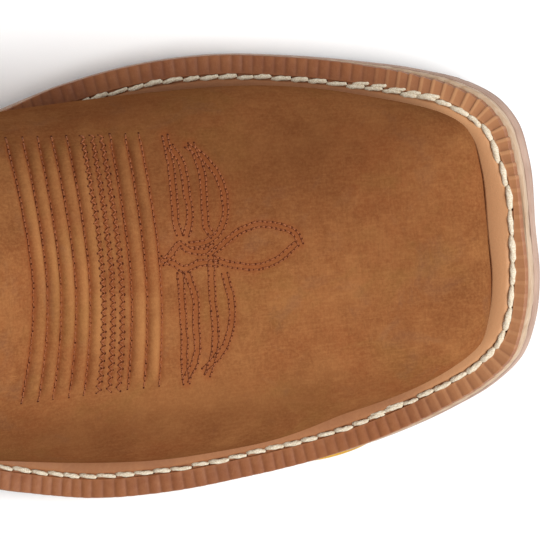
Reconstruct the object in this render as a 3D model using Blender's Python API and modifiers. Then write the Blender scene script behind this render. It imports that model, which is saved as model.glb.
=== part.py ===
"""A right western work boot: square-toed pull-on upper, welt, midsole, rubber outsole and heel.

X runs from the heel to the toe, Y to the inner (medial) side of the foot, and Z up. The origin is on the
floor, under the middle of the heel. All sizes are in metres.

The sole is laid out along one bottom line, seen from the side: heel seat, shank, flat tread and toe
spring. Each layer follows that line at its own height, measured square to it. The upper is a row of
sections that fan over from the toe, across the foot and up the shaft: each has its two ends on the
sole, or its back on the heel, and its crest on the ridge of the foot or the front of the shaft.
"""

import math
from collections import namedtuple

import bmesh
import bpy
import numpy as np

# Driving sizes
LENGTH = 0.305
BALL_WIDTH = 0.112
BOOT_HEIGHT = 0.305
COLLAR_DIP = 0.028
INSTEP_HEIGHT = 0.110
HEEL_HEIGHT = 0.027
TOE_SPRING = 0.013

# Layers, from the floor up
HEEL_CAP_THICKNESS = 0.0075
OUTSOLE_THICKNESS = 0.0055
MIDSOLE_THICKNESS = 0.0035
WELT_THICKNESS = 0.0030
WELT_BEAD = 0.0004
INSOLE_THICKNESS = 0.0055
UPPER_WALL = 0.0024
COUNTER_WALL = 0.0016
COUNTER_HEIGHT = 0.066
GAP = 0.0003
UPPER_SEAT = 0.0005
COUNTER_GAP = 0.0005
INSOLE_CLEARANCE = 0.0008
CUT_MARGIN = 0.006

# Where the sole stands and bends, as shares of LENGTH
ORIGIN_AT = 0.115
HEEL_BREAST_AT = 0.235
SHANK_ENDS_AT = 0.60
SPRING_STARTS_AT = 0.76
SPRING_POWER = 1.7

# The crest of the foot is free of the tilt of the toe's edge above this share of INSTEP_HEIGHT
CREST_FREE_AT = 0.35

# The welt stands out round the upper by this much at the ball
WELT_MARGIN = 0.0102

# Tread
TREAD_DEPTH = 0.0015
TREAD_GROOVE = 0.0025
TREAD_PITCH = 0.0125
TREAD_FROM = 0.56
TREAD_TO = 0.97
HEEL_TREAD_FROM = 0.03
HEEL_TREAD_TO = 0.21

# The heel block narrows towards the floor
HEEL_TAPER = 0.90
HEEL_BACK_SLOPE = 0.004
HEEL_BREAST_SLOPE = 0.003

# Pull straps, over the highest part of the collar
STRAP_WIDTH = 0.026
STRAP_THICKNESS = 0.0018
STRAP_CLEARANCE = 0.0005
STRAP_LEG = 0.046
STRAP_LOOP = 0.018
STRAP_BULGE = 0.014
STRAP_AT = 0.5
STRAP_SHAFT_FROM = 0.6
STRAP_SHAFT_ROWS = 12
STRAP_COLUMNS = 3
STRAP_LEG_STEPS = 4
STRAP_ARCH_STEPS = 8

# How finely the curved pieces are divided
SIDE_SEGMENTS = 17
LOOP_SAMPLES = 720
WELT_SEGMENTS = 80
PLATE_STATIONS = 46
COUNTER_COLUMNS = 10
COUNTER_EDGE_STEPS = 30
FINE_SEGMENTS = 240
ARCH_SAMPLES = 60
SHARP_ANGLE = 40

# The sole's outline, from above: stations as shares of LENGTH, half-widths as shares of BALL_WIDTH
Outline = namedtuple("Outline", "at medial lateral")
OUTLINE = [
    Outline(0.0000, 0.000, 0.000),
    Outline(0.0080, 0.112, 0.118),
    Outline(0.0330, 0.218, 0.232),
    Outline(0.0850, 0.291, 0.306),
    Outline(0.1500, 0.308, 0.322),
    Outline(0.2450, 0.295, 0.330),
    Outline(0.3450, 0.284, 0.356),
    Outline(0.4450, 0.317, 0.424),
    Outline(0.5400, 0.379, 0.489),
    Outline(0.6100, 0.434, 0.523),
    Outline(0.6750, 0.465, 0.528),
    Outline(0.7400, 0.471, 0.511),
    Outline(0.8050, 0.452, 0.484),
    Outline(0.8700, 0.420, 0.438),
    Outline(0.9200, 0.388, 0.393),
    Outline(0.9570, 0.352, 0.348),
    Outline(0.9820, 0.305, 0.290),
    Outline(0.9950, 0.252, 0.214),
    Outline(1.0020, 0.160, 0.116),
    Outline(1.0025, 0.000, 0.000),
]

# How far the upper's bottom edge lies inside that outline, as a share of WELT_MARGIN
Margin = namedtuple("Margin", "at medial lateral")
MARGINS = [
    Margin(0.00, 0.30, 0.30),
    Margin(0.25, 0.30, 0.32),
    Margin(0.42, 0.42, 0.62),
    Margin(0.55, 0.66, 0.90),
    Margin(0.66, 0.92, 1.02),
    Margin(0.80, 0.98, 1.10),
    Margin(0.92, 1.00, 1.08),
    Margin(1.00, 1.00, 1.00),
]

# Sections of the foot, from the toe to the back of the heel. Base stations are shares of the length from
# the upper's back, crest stations of LENGTH, rise of INSTEP_HEIGHT above the sole, half-widths and shift
# of BALL_WIDTH. Widest is the share of the rise where the section is widest, round the exponent of its
# arch, and square how far the arch takes the toe's own outline. Steps is the number of rows of the mesh
# up to the next section.
Foot = namedtuple("Foot", "base crest rise lateral medial widest round square shift steps")
FOOT = [
    Foot(0.9050, 0.9680, 0.000, 0.300, 0.300, 0.00, 3.0, 1.00, 0.000, 1),
    Foot(0.8900, 0.9715, 0.105, 0.306, 0.313, 0.16, 3.0, 1.00, 0.000, 1),
    Foot(0.8680, 0.9590, 0.188, 0.325, 0.326, 0.22, 2.9, 0.85, 0.002, 2),
    Foot(0.8350, 0.9250, 0.244, 0.354, 0.347, 0.27, 2.7, 0.50, 0.005, 2),
    Foot(0.7900, 0.8660, 0.298, 0.389, 0.376, 0.30, 2.4, 0.15, 0.010, 2),
    Foot(0.7260, 0.7880, 0.353, 0.438, 0.398, 0.31, 2.2, 0.00, 0.015, 2),
    Foot(0.6560, 0.7080, 0.424, 0.457, 0.402, 0.31, 2.05, 0.00, 0.019, 2),
    Foot(0.5840, 0.6300, 0.516, 0.446, 0.396, 0.30, 1.90, 0.00, 0.019, 2),
    Foot(0.5020, 0.5600, 0.628, 0.418, 0.384, 0.29, 1.78, 0.00, 0.016, 3),
    Foot(0.4070, 0.5080, 0.728, 0.382, 0.362, 0.28, 1.70, 0.00, 0.012, 3),
    Foot(0.2980, 0.4750, 0.800, 0.355, 0.342, 0.27, 1.70, 0.00, 0.008, 3),
    Foot(0.1830, 0.4580, 0.893, 0.343, 0.333, 0.27, 1.75, 0.00, 0.005, 2),
    Foot(0.0950, 0.4505, 0.980, 0.339, 0.331, 0.28, 1.80, 0.00, 0.003, 2),
    Foot(0.0400, 0.4485, 1.049, 0.337, 0.333, 0.29, 1.84, 0.00, 0.002, 1),
    Foot(0.0165, 0.4478, 1.097, 0.336, 0.334, 0.30, 1.88, 0.00, 0.001, 2),
    Foot(0.0050, 0.4476, 1.115, 0.335, 0.335, 0.305, 1.89, 0.00, 0.000, 1),
    Foot(0.0000, 0.4475, 1.125, 0.335, 0.335, 0.31, 1.90, 0.00, 0.000, 0),
]

# Sections of the leg, from the back of the heel to the collar. Back and front are shares of LENGTH, from
# the upper's back on the sole and from the sole's back. Half is the half-width as a share of BALL_WIDTH. Low
# and high are shares of the way up from the foot's last section to the collar, at the back and the front.
Leg = namedtuple("Leg", "back front low high half widest round scallop steps")
LEG = [
    Leg(0.0000, 0.4475, 0.000, 0.000, 0.335, 0.31, 1.90, 0.00, 1),
    Leg(-0.0045, 0.4470, 0.070, 0.077, 0.336, 0.32, 1.92, 0.00, 1),
    Leg(0.0100, 0.4472, 0.160, 0.173, 0.340, 0.34, 1.95, 0.00, 1),
    Leg(0.0310, 0.4490, 0.266, 0.296, 0.347, 0.38, 1.98, 0.02, 2),
    Leg(0.0400, 0.4527, 0.390, 0.440, 0.361, 0.43, 2.00, 0.08, 2),
    Leg(0.0340, 0.4583, 0.531, 0.607, 0.384, 0.47, 2.03, 0.25, 2),
    Leg(0.0200, 0.4650, 0.690, 0.768, 0.409, 0.49, 2.05, 0.52, 2),
    Leg(0.0060, 0.4712, 0.853, 0.905, 0.430, 0.50, 2.05, 0.80, 2),
    Leg(-0.0010, 0.4755, 1.000, 1.000, 0.441, 0.50, 2.05, 1.00, 0),
]

# The heel counter's top edge: stations as shares of LENGTH, heights above the sole of COUNTER_HEIGHT
Counter = namedtuple("Counter", "at height")
COUNTER = [
    Counter(-0.06, 1.01),
    Counter(0.000, 1.00),
    Counter(0.060, 0.95),
    Counter(0.120, 0.83),
    Counter(0.190, 0.69),
    Counter(0.260, 0.55),
    Counter(0.320, 0.32),
    Counter(0.365, -0.05),
    Counter(0.400, -0.45),
    Counter(0.600, -0.60),
]

# The rows of both tables, counted from the toe, between which the counter's sheet is taken
COUNTER_FIRST = 9
COUNTER_LAST = 20

Paint = namedtuple("Paint", "colour roughness")
PAINTS = {
    "upper_leather": Paint((0.30, 0.125, 0.045), 0.62),
    "counter_leather": Paint((0.27, 0.110, 0.040), 0.62),
    "welt_leather": Paint((0.34, 0.150, 0.070), 0.55),
    "midsole_leather": Paint((0.62, 0.46, 0.31), 0.60),
    "sole_rubber": Paint((0.34, 0.18, 0.11), 0.70),
    "heel_leather": Paint((0.16, 0.075, 0.035), 0.50),
    "insole_leather": Paint((0.42, 0.25, 0.13), 0.80),
    "strap_leather": Paint((0.22, 0.095, 0.038), 0.60),
}


def column(table, name):
    """One named column of a table, as an array."""
    return np.array([getattr(row, name) for row in table], float)


def curve(knots, values, at):
    """A smooth curve through values at the knots, with each slope taken from its two neighbours."""
    knots, values, at = np.asarray(knots, float), np.asarray(values, float), np.asarray(at, float)
    slopes = np.gradient(values, knots, axis=0)
    k = np.clip(np.searchsorted(knots, at, side="right") - 1, 0, len(knots) - 2)
    step = knots[k + 1] - knots[k]
    t = (at - knots[k]) / step
    if values.ndim > 1:
        t, step = t[..., None], step[..., None]
    return (
        (2 * t**3 - 3 * t**2 + 1) * values[k]
        + (t**3 - 2 * t**2 + t) * step * slopes[k]
        + (3 * t**2 - 2 * t**3) * values[k + 1]
        + (t**3 - t**2) * step * slopes[k + 1]
    )


def smooth_step(t):
    t = np.clip(t, 0, 1)
    return t * t * (3 - 2 * t)


def bottom_height(station):
    """Height above the floor of the outsole's underside: heel seat, shank, flat tread, toe spring."""
    share = np.asarray(station, float) / LENGTH
    shank = (SHANK_ENDS_AT - share) / (SHANK_ENDS_AT - HEEL_BREAST_AT)
    spring = (share - SPRING_STARTS_AT) / (1 - SPRING_STARTS_AT)
    return HEEL_HEIGHT * smooth_step(shank) + TOE_SPRING * np.maximum(spring, 0) ** SPRING_POWER


def lifted(station, height):
    """X and Z of a point above the bottom line, height being measured square to that line."""
    station = np.asarray(station, float)
    tiny = LENGTH * 1e-4
    slope = (bottom_height(station + tiny) - bottom_height(station - tiny)) / (2 * tiny)
    run = np.sqrt(1 + slope**2)
    x = station - ORIGIN_AT * LENGTH - height * slope / run
    return x, bottom_height(station) + height / run


def outline_loop():
    """Stations and sides of the sole's outline, evenly spaced: back, outer side, toe, inner side."""
    at = column(OUTLINE, "at") * LENGTH
    outer = np.column_stack([at, -column(OUTLINE, "lateral") * BALL_WIDTH])
    inner = np.column_stack([at, column(OUTLINE, "medial") * BALL_WIDTH])
    around = np.vstack([outer, inner[-2:0:-1]])
    wrap = 3
    points = np.vstack([around[-wrap:], around, around[: wrap + 1]])
    chord = np.concatenate([[0], np.cumsum(np.linalg.norm(np.diff(points, axis=0), axis=1))])
    fine = np.linspace(chord[wrap], chord[wrap + len(around)], 4 * LOOP_SAMPLES + 1)
    dense = curve(chord, points, fine)
    run = np.concatenate([[0], np.cumsum(np.linalg.norm(np.diff(dense, axis=0), axis=1))])
    even = np.linspace(0, run[-1], LOOP_SAMPLES + 1)[:-1]
    return np.column_stack([np.interp(even, run, dense[:, 0]), np.interp(even, run, dense[:, 1])])


def outward(loop):
    """The unit normals of a closed loop, pointing out."""
    along = np.roll(loop, -1, axis=0) - np.roll(loop, 1, axis=0)
    normal = np.column_stack([along[:, 1], -along[:, 0]])
    return normal / np.linalg.norm(normal, axis=1)[:, None]


def margin_of(loop):
    """How far inside the outline the upper's bottom edge lies, at each point of the loop."""
    share = np.clip(loop[:, 0] / LENGTH, 0, 1)
    inner = curve(column(MARGINS, "at"), column(MARGINS, "medial"), share)
    outer = curve(column(MARGINS, "at"), column(MARGINS, "lateral"), share)
    weight = smooth_step(0.5 + loop[:, 1] / (0.4 * BALL_WIDTH))
    return WELT_MARGIN * (outer + (inner - outer) * weight)


def side_of(loop, side):
    """Half-width as a function of station on one side of a loop: side is -1 outer, 1 inner."""
    half = LOOP_SAMPLES // 2
    order = np.arange(half + 1) if side < 0 else np.arange(LOOP_SAMPLES, half - 1, -1) % LOOP_SAMPLES
    points = loop[order]
    rising = np.maximum.accumulate(points[:, 0])

    def half_width(station):
        return np.interp(station, rising, side * points[:, 1], left=0, right=0)

    return half_width


SOLE = outline_loop()
NORMALS = outward(SOLE)
FEATHER = SOLE - NORMALS * margin_of(SOLE)[:, None]
INNER_EDGE = FEATHER - NORMALS * UPPER_WALL
OUTER_EDGE, MEDIAL_EDGE = side_of(FEATHER, -1), side_of(FEATHER, 1)
HEEL_BACK, TOE_TIP = FEATHER[:, 0].min(), FEATHER[:, 0].max()
FOOT_KEYS, LEG_KEYS = len(FOOT) - 1, len(LEG) - 1
STACK = OUTSOLE_THICKNESS + MIDSOLE_THICKNESS + WELT_THICKNESS + 2 * GAP + UPPER_SEAT


def material(name):
    paint = PAINTS[name]
    made = bpy.data.materials.new(name)
    made.use_nodes = True
    shader = made.node_tree.nodes["Principled BSDF"]
    shader.inputs["Base Color"].default_value = (*paint.colour, 1)
    shader.inputs["Roughness"].default_value = paint.roughness
    shader.inputs["Metallic"].default_value = 0
    made.diffuse_color = (*paint.colour, 1)
    return made


def add_object(name, mesh_data, paint, collection, closed=True):
    """Turns (points, faces) into a named object. A closed mesh gets its faces pointing out."""
    points, faces = mesh_data
    mesh = bpy.data.meshes.new(name)
    mesh.from_pydata([tuple(map(float, p)) for p in points], [], faces)
    shape = bmesh.new()
    shape.from_mesh(mesh)
    bmesh.ops.remove_doubles(shape, verts=shape.verts, dist=1e-6)
    if closed:
        bmesh.ops.recalc_face_normals(shape, faces=shape.faces)
    shape.to_mesh(mesh)
    shape.free()
    mesh.shade_smooth()
    mesh.set_sharp_from_angle(angle=math.radians(SHARP_ANGLE))
    mesh.materials.append(bpy.data.materials[paint])
    made = bpy.data.objects.new(name, mesh)
    collection.objects.link(made)
    return made


def loft(rings, closed=False):
    """Points and faces of a solid through rings of equally many points, capped unless it is closed."""
    count, size = len(rings), len(rings[0])
    points = [p for ring in rings for p in ring]
    faces = []
    for i in range(count if closed else count - 1):
        near, far = i * size, (i + 1) % count * size
        for j in range(size):
            k = (j + 1) % size
            faces.append((near + j, near + k, far + k, far + j))
    if not closed:
        faces.append(tuple(range(size)))
        faces.append(tuple(range((count - 1) * size, count * size)))
    return points, faces


def end_stations(first, last):
    """Stations between two ends, crowded towards both so that round ends stay round."""
    turn = np.linspace(0, math.pi, PLATE_STATIONS)
    even = (turn / math.pi - 0.5) * 2
    crowd = 0.35 * even - 0.65 * np.cos(turn)
    tip = LENGTH * 0.0006
    return (first + last) / 2 + ((last - first) / 2 - tip) * crowd


def tread_grooves(first, last):
    """Pairs of stations between which a cross groove lies."""
    count = int((last - first) / TREAD_PITCH)
    starts = first + TREAD_PITCH * (np.arange(count) + 0.5)
    return [(start, start + TREAD_GROOVE) for start in starts]


def with_grooves(stations, grooves):
    """The stations with both edges of each groove added, as (station, depth) in order."""
    edge = LENGTH * 1e-4
    clear = [s for s in stations if all(s < a - edge * 4 or s > b + edge * 4 for a, b in grooves)]
    rows = [(s, 0.0) for s in clear]
    for start, end in grooves:
        rows += [(start - edge, 0.0), (start, TREAD_DEPTH), (end, TREAD_DEPTH), (end + edge, 0.0)]
    return sorted(rows)


def plate(loop, low, high, grooves=()):
    """A sole layer between two heights over the bottom line, with the loop's outline."""
    outer, inner = side_of(loop, -1), side_of(loop, 1)
    rings = []
    for station, depth in with_grooves(end_stations(loop[:, 0].min(), loop[:, 0].max()), grooves):
        x_low, z_low = lifted(station, low + depth)
        x_high, z_high = lifted(station, high)
        left, right = -outer(station), inner(station)
        rings.append(
            [(x_low, left, z_low), (x_low, right, z_low), (x_high, right, z_high), (x_high, left, z_high)]
        )
    return loft(rings)


def heel_ring(station, low_level, high_level, depth):
    """One cross ring of the heel block between two heights, narrowed and sloped towards the floor."""
    outer, inner = side_of(SOLE, -1), side_of(SOLE, 1)
    middle = HEEL_BREAST_AT * LENGTH / 2
    ring = []
    for level, side in ((low_level, -1), (low_level, 1), (high_level, 1), (high_level, -1)):
        drop = 1 - level / HEEL_HEIGHT
        narrow = 1 - (1 - HEEL_TAPER) * drop
        slope = HEEL_BACK_SLOPE if station < middle else HEEL_BREAST_SLOPE
        x = station + slope * drop * (middle - station) / middle
        half = (outer if side < 0 else inner)(station)
        z = level + (depth if level == low_level else 0)
        ring.append((x - ORIGIN_AT * LENGTH, side * half * narrow, z))
    return ring


def heel_block(low, high, grooves=()):
    """A block of the heel between two heights above the floor."""
    first, last = SOLE[:, 0].min() + LENGTH * 0.001, HEEL_BREAST_AT * LENGTH
    turn = np.linspace(0, math.pi / 2, PLATE_STATIONS // 2)
    stations = first + (last - first) * (1 - np.cos(turn))
    return loft([heel_ring(s, low, high, d) for s, d in with_grooves(stations, grooves)])


def welt_ring():
    """The welt: an even strip with a bead that stands against the upper, all round the boot."""
    step = LOOP_SAMPLES // WELT_SEGMENTS
    low = OUTSOLE_THICKNESS + MIDSOLE_THICKNESS + 2 * GAP
    margins = margin_of(SOLE)
    rings = []
    for k in range(0, LOOP_SAMPLES, step):
        share = margins[k] / WELT_MARGIN
        bead = WELT_BEAD * min(share, 1)
        profile = [
            (0.00, 0), (0.00, 0.75 * WELT_THICKNESS), (0.07, WELT_THICKNESS), (0.66, WELT_THICKNESS),
            (0.74, WELT_THICKNESS + bead), (0.83, WELT_THICKNESS + bead), (0.90, WELT_THICKNESS),
        ]
        ring = []
        for inset, up in profile:
            station, side = SOLE[k] - NORMALS[k] * inset * margins[k]
            x, z = lifted(station, low + up)
            ring.append((x, side, z))
        for up in (WELT_THICKNESS, 0):
            station, side = INNER_EDGE[k]
            x, z = lifted(station, low + up)
            ring.append((x, side, z))
        rings.append(ring)
    return loft(rings, closed=True)


def section_half(ends, half, widest, power, crest_side, side, toe_shape, square):
    """One side of a section, as even steps (rise, side): from its end up to its crest."""
    turn = np.linspace(0, math.pi / 2, ARCH_SAMPLES)
    low = widest * (1 - np.cos(turn))
    swell = np.clip(1 - (1 - low / max(widest, 1e-9)) ** 2, 0, 1) ** (0.5 + 0.5 * min(ends / half, 1))
    low_side = ends + (half - ends) * swell
    share = np.sin(turn)
    arch = (1 - share**power) ** (1 / power)
    arch = arch + (toe_shape(share) - arch) * square
    high = widest + (1 - widest) * share
    high_side = crest_side * side + (half - crest_side * side) * arch
    rise = np.concatenate([low, high[1:]])
    out = np.concatenate([low_side, high_side[1:]])
    return rise, side * out


def even_steps(points, segments):
    """The polyline again, in steps of equal length."""
    run = np.concatenate([[0], np.cumsum(np.linalg.norm(np.diff(points, axis=0), axis=1))])
    even = np.linspace(0, run[-1], segments + 1)
    return np.column_stack([np.interp(even, run, points[:, axis]) for axis in range(3)])


def placed_half(base, crest, rise, out, scallop):
    """A half-section's points in space, between its base and its crest, seen from the side."""
    x = base[0] + rise * (crest[0] - base[0])
    z = base[1] + rise * (crest[1] - base[1]) + scallop * np.sin(math.pi * rise) ** 1.5
    return np.column_stack([x, out, z])


def table_at(table, at):
    """The table's row at a fractional index, as a row of the same columns."""
    keys = np.arange(len(table))
    return type(table[0])(*(float(curve(keys, column(table, name), at)) for name in table[0]._fields))


def toe_shape(half_width):
    """The toe's own outline ahead of the first section, from 1 at its base to 0 at the tip."""
    toe_base = HEEL_BACK + FOOT[0].base * (LENGTH - HEEL_BACK)
    return lambda share: half_width(toe_base + share * (TOE_TIP - toe_base)) / half_width(toe_base)


def foot_halves(at):
    """The outer and inner half of a section of the foot, each from the sole up to the crest."""
    row = table_at(FOOT, at)
    base_station = HEEL_BACK + max(row.base, 0) * (LENGTH - HEEL_BACK)
    crest_station = row.crest * LENGTH if at > 0 else TOE_TIP
    rise_above_sole = max(row.rise, 0)
    edge_x, edge_z = lifted(crest_station, STACK)
    free_x = crest_station - ORIGIN_AT * LENGTH
    free = smooth_step(rise_above_sole / CREST_FREE_AT)
    crest = (edge_x + (free_x - edge_x) * free, edge_z + rise_above_sole * INSTEP_HEIGHT)
    base = lifted(base_station, STACK)
    shift = row.shift * BALL_WIDTH
    square = min(max(row.square, 0), 1)
    halves = []
    for side, edge, half in ((-1, OUTER_EDGE, row.lateral), (1, MEDIAL_EDGE, row.medial)):
        end = float(edge(base_station))
        half = max(half * BALL_WIDTH, end)
        rise, out = section_half(
            end, half, max(row.widest, 0), row.round, shift, side, toe_shape(edge), square
        )
        halves.append(placed_half(base, crest, rise, out, 0))
    return halves


def leg_halves(at):
    """The outer and inner half of a section of the leg, each from its back up to its front."""
    row = table_at(LEG, at)
    back_start = bottom_height(0) + STACK
    front_station = FOOT[-1].crest * LENGTH
    front_start = bottom_height(front_station) + STACK + FOOT[-1].rise * INSTEP_HEIGHT
    collar = BOOT_HEIGHT - COLLAR_DIP
    back_x = HEEL_BACK + (row.back - ORIGIN_AT) * LENGTH
    base = (back_x, back_start + row.low * (collar - back_start))
    crest = ((row.front - ORIGIN_AT) * LENGTH, front_start + row.high * (collar - front_start))
    halves = []
    for side in (-1, 1):
        rise, out = section_half(0, row.half * BALL_WIDTH, row.widest, row.round, 0, side, np.cos, 0)
        halves.append(placed_half(base, crest, rise, out, row.scallop * COLLAR_DIP))
    return halves


def upper_halves(at, segments=SIDE_SEGMENTS):
    """A section of the upper, by its place along both tables: the foot first, and then the leg."""
    halves = foot_halves(at) if at <= FOOT_KEYS else leg_halves(at - FOOT_KEYS)
    return [even_steps(half, segments) for half in halves]


def upper_places():
    """The places of the upper's rows, with as many between two sections as the tables say."""
    places = [0.0]
    for table in (FOOT, LEG):
        for row in table[:-1]:
            start = places[-1]
            places += [start + (k + 1) / row.steps for k in range(row.steps)]
    return places


def sheet_of(sections, points_per_half):
    """Points and triangles of a surface through the low part of both halves of each section."""
    points, faces = [], []
    for side in (0, 1):
        for i, halves in enumerate(sections):
            start = len(points)
            points += list(halves[side][:points_per_half])
            for j in range(points_per_half - 1 if i else 0):
                near, far = start - points_per_half + j, start + j
                pair = [(near, near + 1, far + 1), (near, far + 1, far)]
                faces += pair if side == 0 else [face[::-1] for face in pair]
    return points, faces


def upper_sheet():
    """The upper's outer surface, from the toe round to the collar."""
    return sheet_of([upper_halves(place) for place in upper_places()], SIDE_SEGMENTS + 1)


def counter_sheet():
    """The heel counter's inner surface before it is trimmed: the upper's own mesh round the heel."""
    places = [place for place in upper_places() if COUNTER_FIRST <= place <= COUNTER_LAST]
    return sheet_of([upper_halves(place) for place in places], COUNTER_COLUMNS + 1)


def along_half(half, share):
    """The point of a half-section at a share of its length."""
    run = np.linspace(0, 1, len(half))
    return np.array([np.interp(share, run, half[:, axis]) for axis in range(3)])


def above_counter():
    """All that lies over the counter's top edge and ahead of it, as a block to cut with."""
    rings = []
    for at in np.linspace(COUNTER[0].at, COUNTER[-1].at, COUNTER_EDGE_STEPS + 1):
        edge = float(curve(column(COUNTER, "at"), column(COUNTER, "height"), at)) * COUNTER_HEIGHT
        x, low = (at - ORIGIN_AT) * LENGTH, bottom_height(at * LENGTH) + STACK + edge
        corners = (-BALL_WIDTH, low), (BALL_WIDTH, low), (BALL_WIDTH, BOOT_HEIGHT), (-BALL_WIDTH, BOOT_HEIGHT)
        rings.append([(x, side, level) for side, level in corners])
    return loft(rings)


def cut_away(made, name, mesh_data, cutters):
    """Takes a hidden block away from a piece."""
    block = add_object(name, mesh_data, "welt_leather", cutters)
    block.hide_render = True
    block.display_type = "WIRE"
    cut = made.modifiers.new(name, "BOOLEAN")
    cut.operation = "DIFFERENCE"
    cut.object = block


def strap_ring(centre, across, thickness):
    """Both faces of the strap across its width: centre line points, each moved along across."""
    half = across * thickness / 2
    return np.vstack([centre + half, (centre - half)[::-1]])


def strap_lines(side):
    """Lines across the strap's width on the shaft's outer surface, level at the foot, then the collar."""
    places = FOOT_KEYS + LEG_KEYS * np.linspace(STRAP_SHAFT_FROM, 1, STRAP_SHAFT_ROWS)
    rows = [upper_halves(place, FINE_SEGMENTS)[side] for place in places]
    run = np.linalg.norm(np.diff(rows[-1], axis=0), axis=1).sum()
    shares = STRAP_AT + np.linspace(-0.5, 0.5, STRAP_COLUMNS + 1) * STRAP_WIDTH / run
    columns = [np.array([along_half(row, share) for row in rows]) for share in shares]
    foot = max(line[-1, 2] for line in columns) - STRAP_LEG
    legs = []
    for line in columns:
        heights = np.linspace(foot, line[-1, 2], STRAP_LEG_STEPS + 1)
        legs.append(np.column_stack([np.interp(heights, line[:, 2], line[:, axis]) for axis in range(3)]))
    return np.array(legs).swapaxes(0, 1)


def pull_strap(side):
    """A strap sewn to both faces of the shaft's top edge and arched over it. Side: 0 outer, 1 inner."""
    reach = STRAP_CLEARANCE + STRAP_THICKNESS / 2
    lines = strap_lines(side)
    out = np.array([0, 1.0 if side else -1.0, 0])
    up = np.array([0, 0, 1.0])
    rings = [strap_ring(line + out * reach, out, STRAP_THICKNESS) for line in lines]
    waist = UPPER_WALL / 2 + reach
    for turn in np.linspace(0, math.pi, STRAP_ARCH_STEPS + 1)[1:-1]:
        swing = (waist + STRAP_BULGE * math.sin(turn) ** 2) * math.cos(turn)
        height = STRAP_LOOP * math.sin(turn) + STRAP_THICKNESS
        centre = lines[-1] + out * (swing - UPPER_WALL / 2) + up * height
        rings.append(strap_ring(centre, out * math.cos(turn) + up * math.sin(turn), STRAP_THICKNESS))
    rings += [strap_ring(line - out * (UPPER_WALL + reach), -out, STRAP_THICKNESS) for line in lines[::-1]]
    return loft([list(ring) for ring in rings])


def thicken(made, gap, thickness, outwards):
    """A wall grown from a surface to one side of it, after the surface is moved out by the gap."""
    if gap:
        lift = made.modifiers.new("gap", "DISPLACE")
        lift.strength = gap
        lift.mid_level = 0
    wall = made.modifiers.new("wall", "SOLIDIFY")
    wall.thickness = thickness
    wall.offset = 1 if outwards else -1
    wall.use_even_offset = False
    wall.use_quality_normals = True


def main():
    for old in list(bpy.data.objects):
        bpy.data.objects.remove(old)
    for name in PAINTS:
        material(name)
    boot = bpy.data.collections.new("western_work_boot")
    bpy.context.scene.collection.children.link(boot)
    cutters = bpy.data.collections.new("cutters")
    bpy.context.scene.collection.children.link(cutters)

    grooves = tread_grooves(TREAD_FROM * LENGTH, TREAD_TO * LENGTH)
    heel_grooves = tread_grooves(HEEL_TREAD_FROM * LENGTH, HEEL_TREAD_TO * LENGTH)
    midsole_low = OUTSOLE_THICKNESS + GAP
    welt_low = midsole_low + MIDSOLE_THICKNESS + GAP
    insole_loop = INNER_EDGE - NORMALS * INSOLE_CLEARANCE

    add_object("outsole", plate(SOLE, 0, OUTSOLE_THICKNESS, grooves), "sole_rubber", boot)
    add_object("midsole", plate(SOLE, midsole_low, midsole_low + MIDSOLE_THICKNESS), "midsole_leather", boot)
    add_object("welt", welt_ring(), "welt_leather", boot)
    add_object("insole", plate(insole_loop, welt_low, welt_low + INSOLE_THICKNESS), "insole_leather", boot)
    add_object("heel_cap", heel_block(0, HEEL_CAP_THICKNESS, heel_grooves), "sole_rubber", boot)
    add_object("heel_stack", heel_block(HEEL_CAP_THICKNESS + GAP, HEEL_HEIGHT - GAP), "heel_leather", boot)

    upper = add_object("upper", upper_sheet(), "upper_leather", boot, closed=False)
    thicken(upper, 0, UPPER_WALL, outwards=False)
    counter = add_object("heel_counter", counter_sheet(), "counter_leather", boot, closed=False)
    thicken(counter, COUNTER_GAP, COUNTER_WALL, outwards=True)
    below_counter = plate(SOLE + NORMALS * CUT_MARGIN, -CUT_MARGIN, STACK)
    cut_away(counter, "below_counter", below_counter, cutters)
    cut_away(counter, "above_counter", above_counter(), cutters)
    add_object("pull_strap_lateral", pull_strap(0), "strap_leather", boot)
    add_object("pull_strap_medial", pull_strap(1), "strap_leather", boot)


main()
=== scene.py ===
"""Looks of the right western work boot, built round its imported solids.

X runs from the heel to the toe, Y to the inner side of the foot and Z up, all in metres. A station is a
distance from the back of the sole. The upper is one surface of two numbers: its place, which counts the
sections from the toe over the foot and up the leg, and its way across, from -1 at the outer edge over the
crest at 0 to 1 at the inner edge.
"""

import math
from collections import namedtuple

import bmesh
import bpy
import numpy as np
from mathutils import Matrix, Vector
from mathutils.bvhtree import BVHTree

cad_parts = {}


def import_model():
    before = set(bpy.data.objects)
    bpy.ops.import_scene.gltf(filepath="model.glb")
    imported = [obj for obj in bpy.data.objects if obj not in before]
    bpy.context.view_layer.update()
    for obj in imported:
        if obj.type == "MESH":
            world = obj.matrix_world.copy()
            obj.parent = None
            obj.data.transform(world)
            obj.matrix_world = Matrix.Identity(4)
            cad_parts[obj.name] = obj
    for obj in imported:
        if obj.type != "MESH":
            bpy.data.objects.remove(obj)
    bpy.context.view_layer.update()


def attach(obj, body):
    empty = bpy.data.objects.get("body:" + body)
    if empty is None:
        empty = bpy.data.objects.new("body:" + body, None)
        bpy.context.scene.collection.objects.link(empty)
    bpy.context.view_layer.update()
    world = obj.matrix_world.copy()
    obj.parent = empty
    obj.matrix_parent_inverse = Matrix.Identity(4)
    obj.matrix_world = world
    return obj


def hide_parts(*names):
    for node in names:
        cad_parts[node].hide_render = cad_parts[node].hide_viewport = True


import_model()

MM = 0.001

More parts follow.
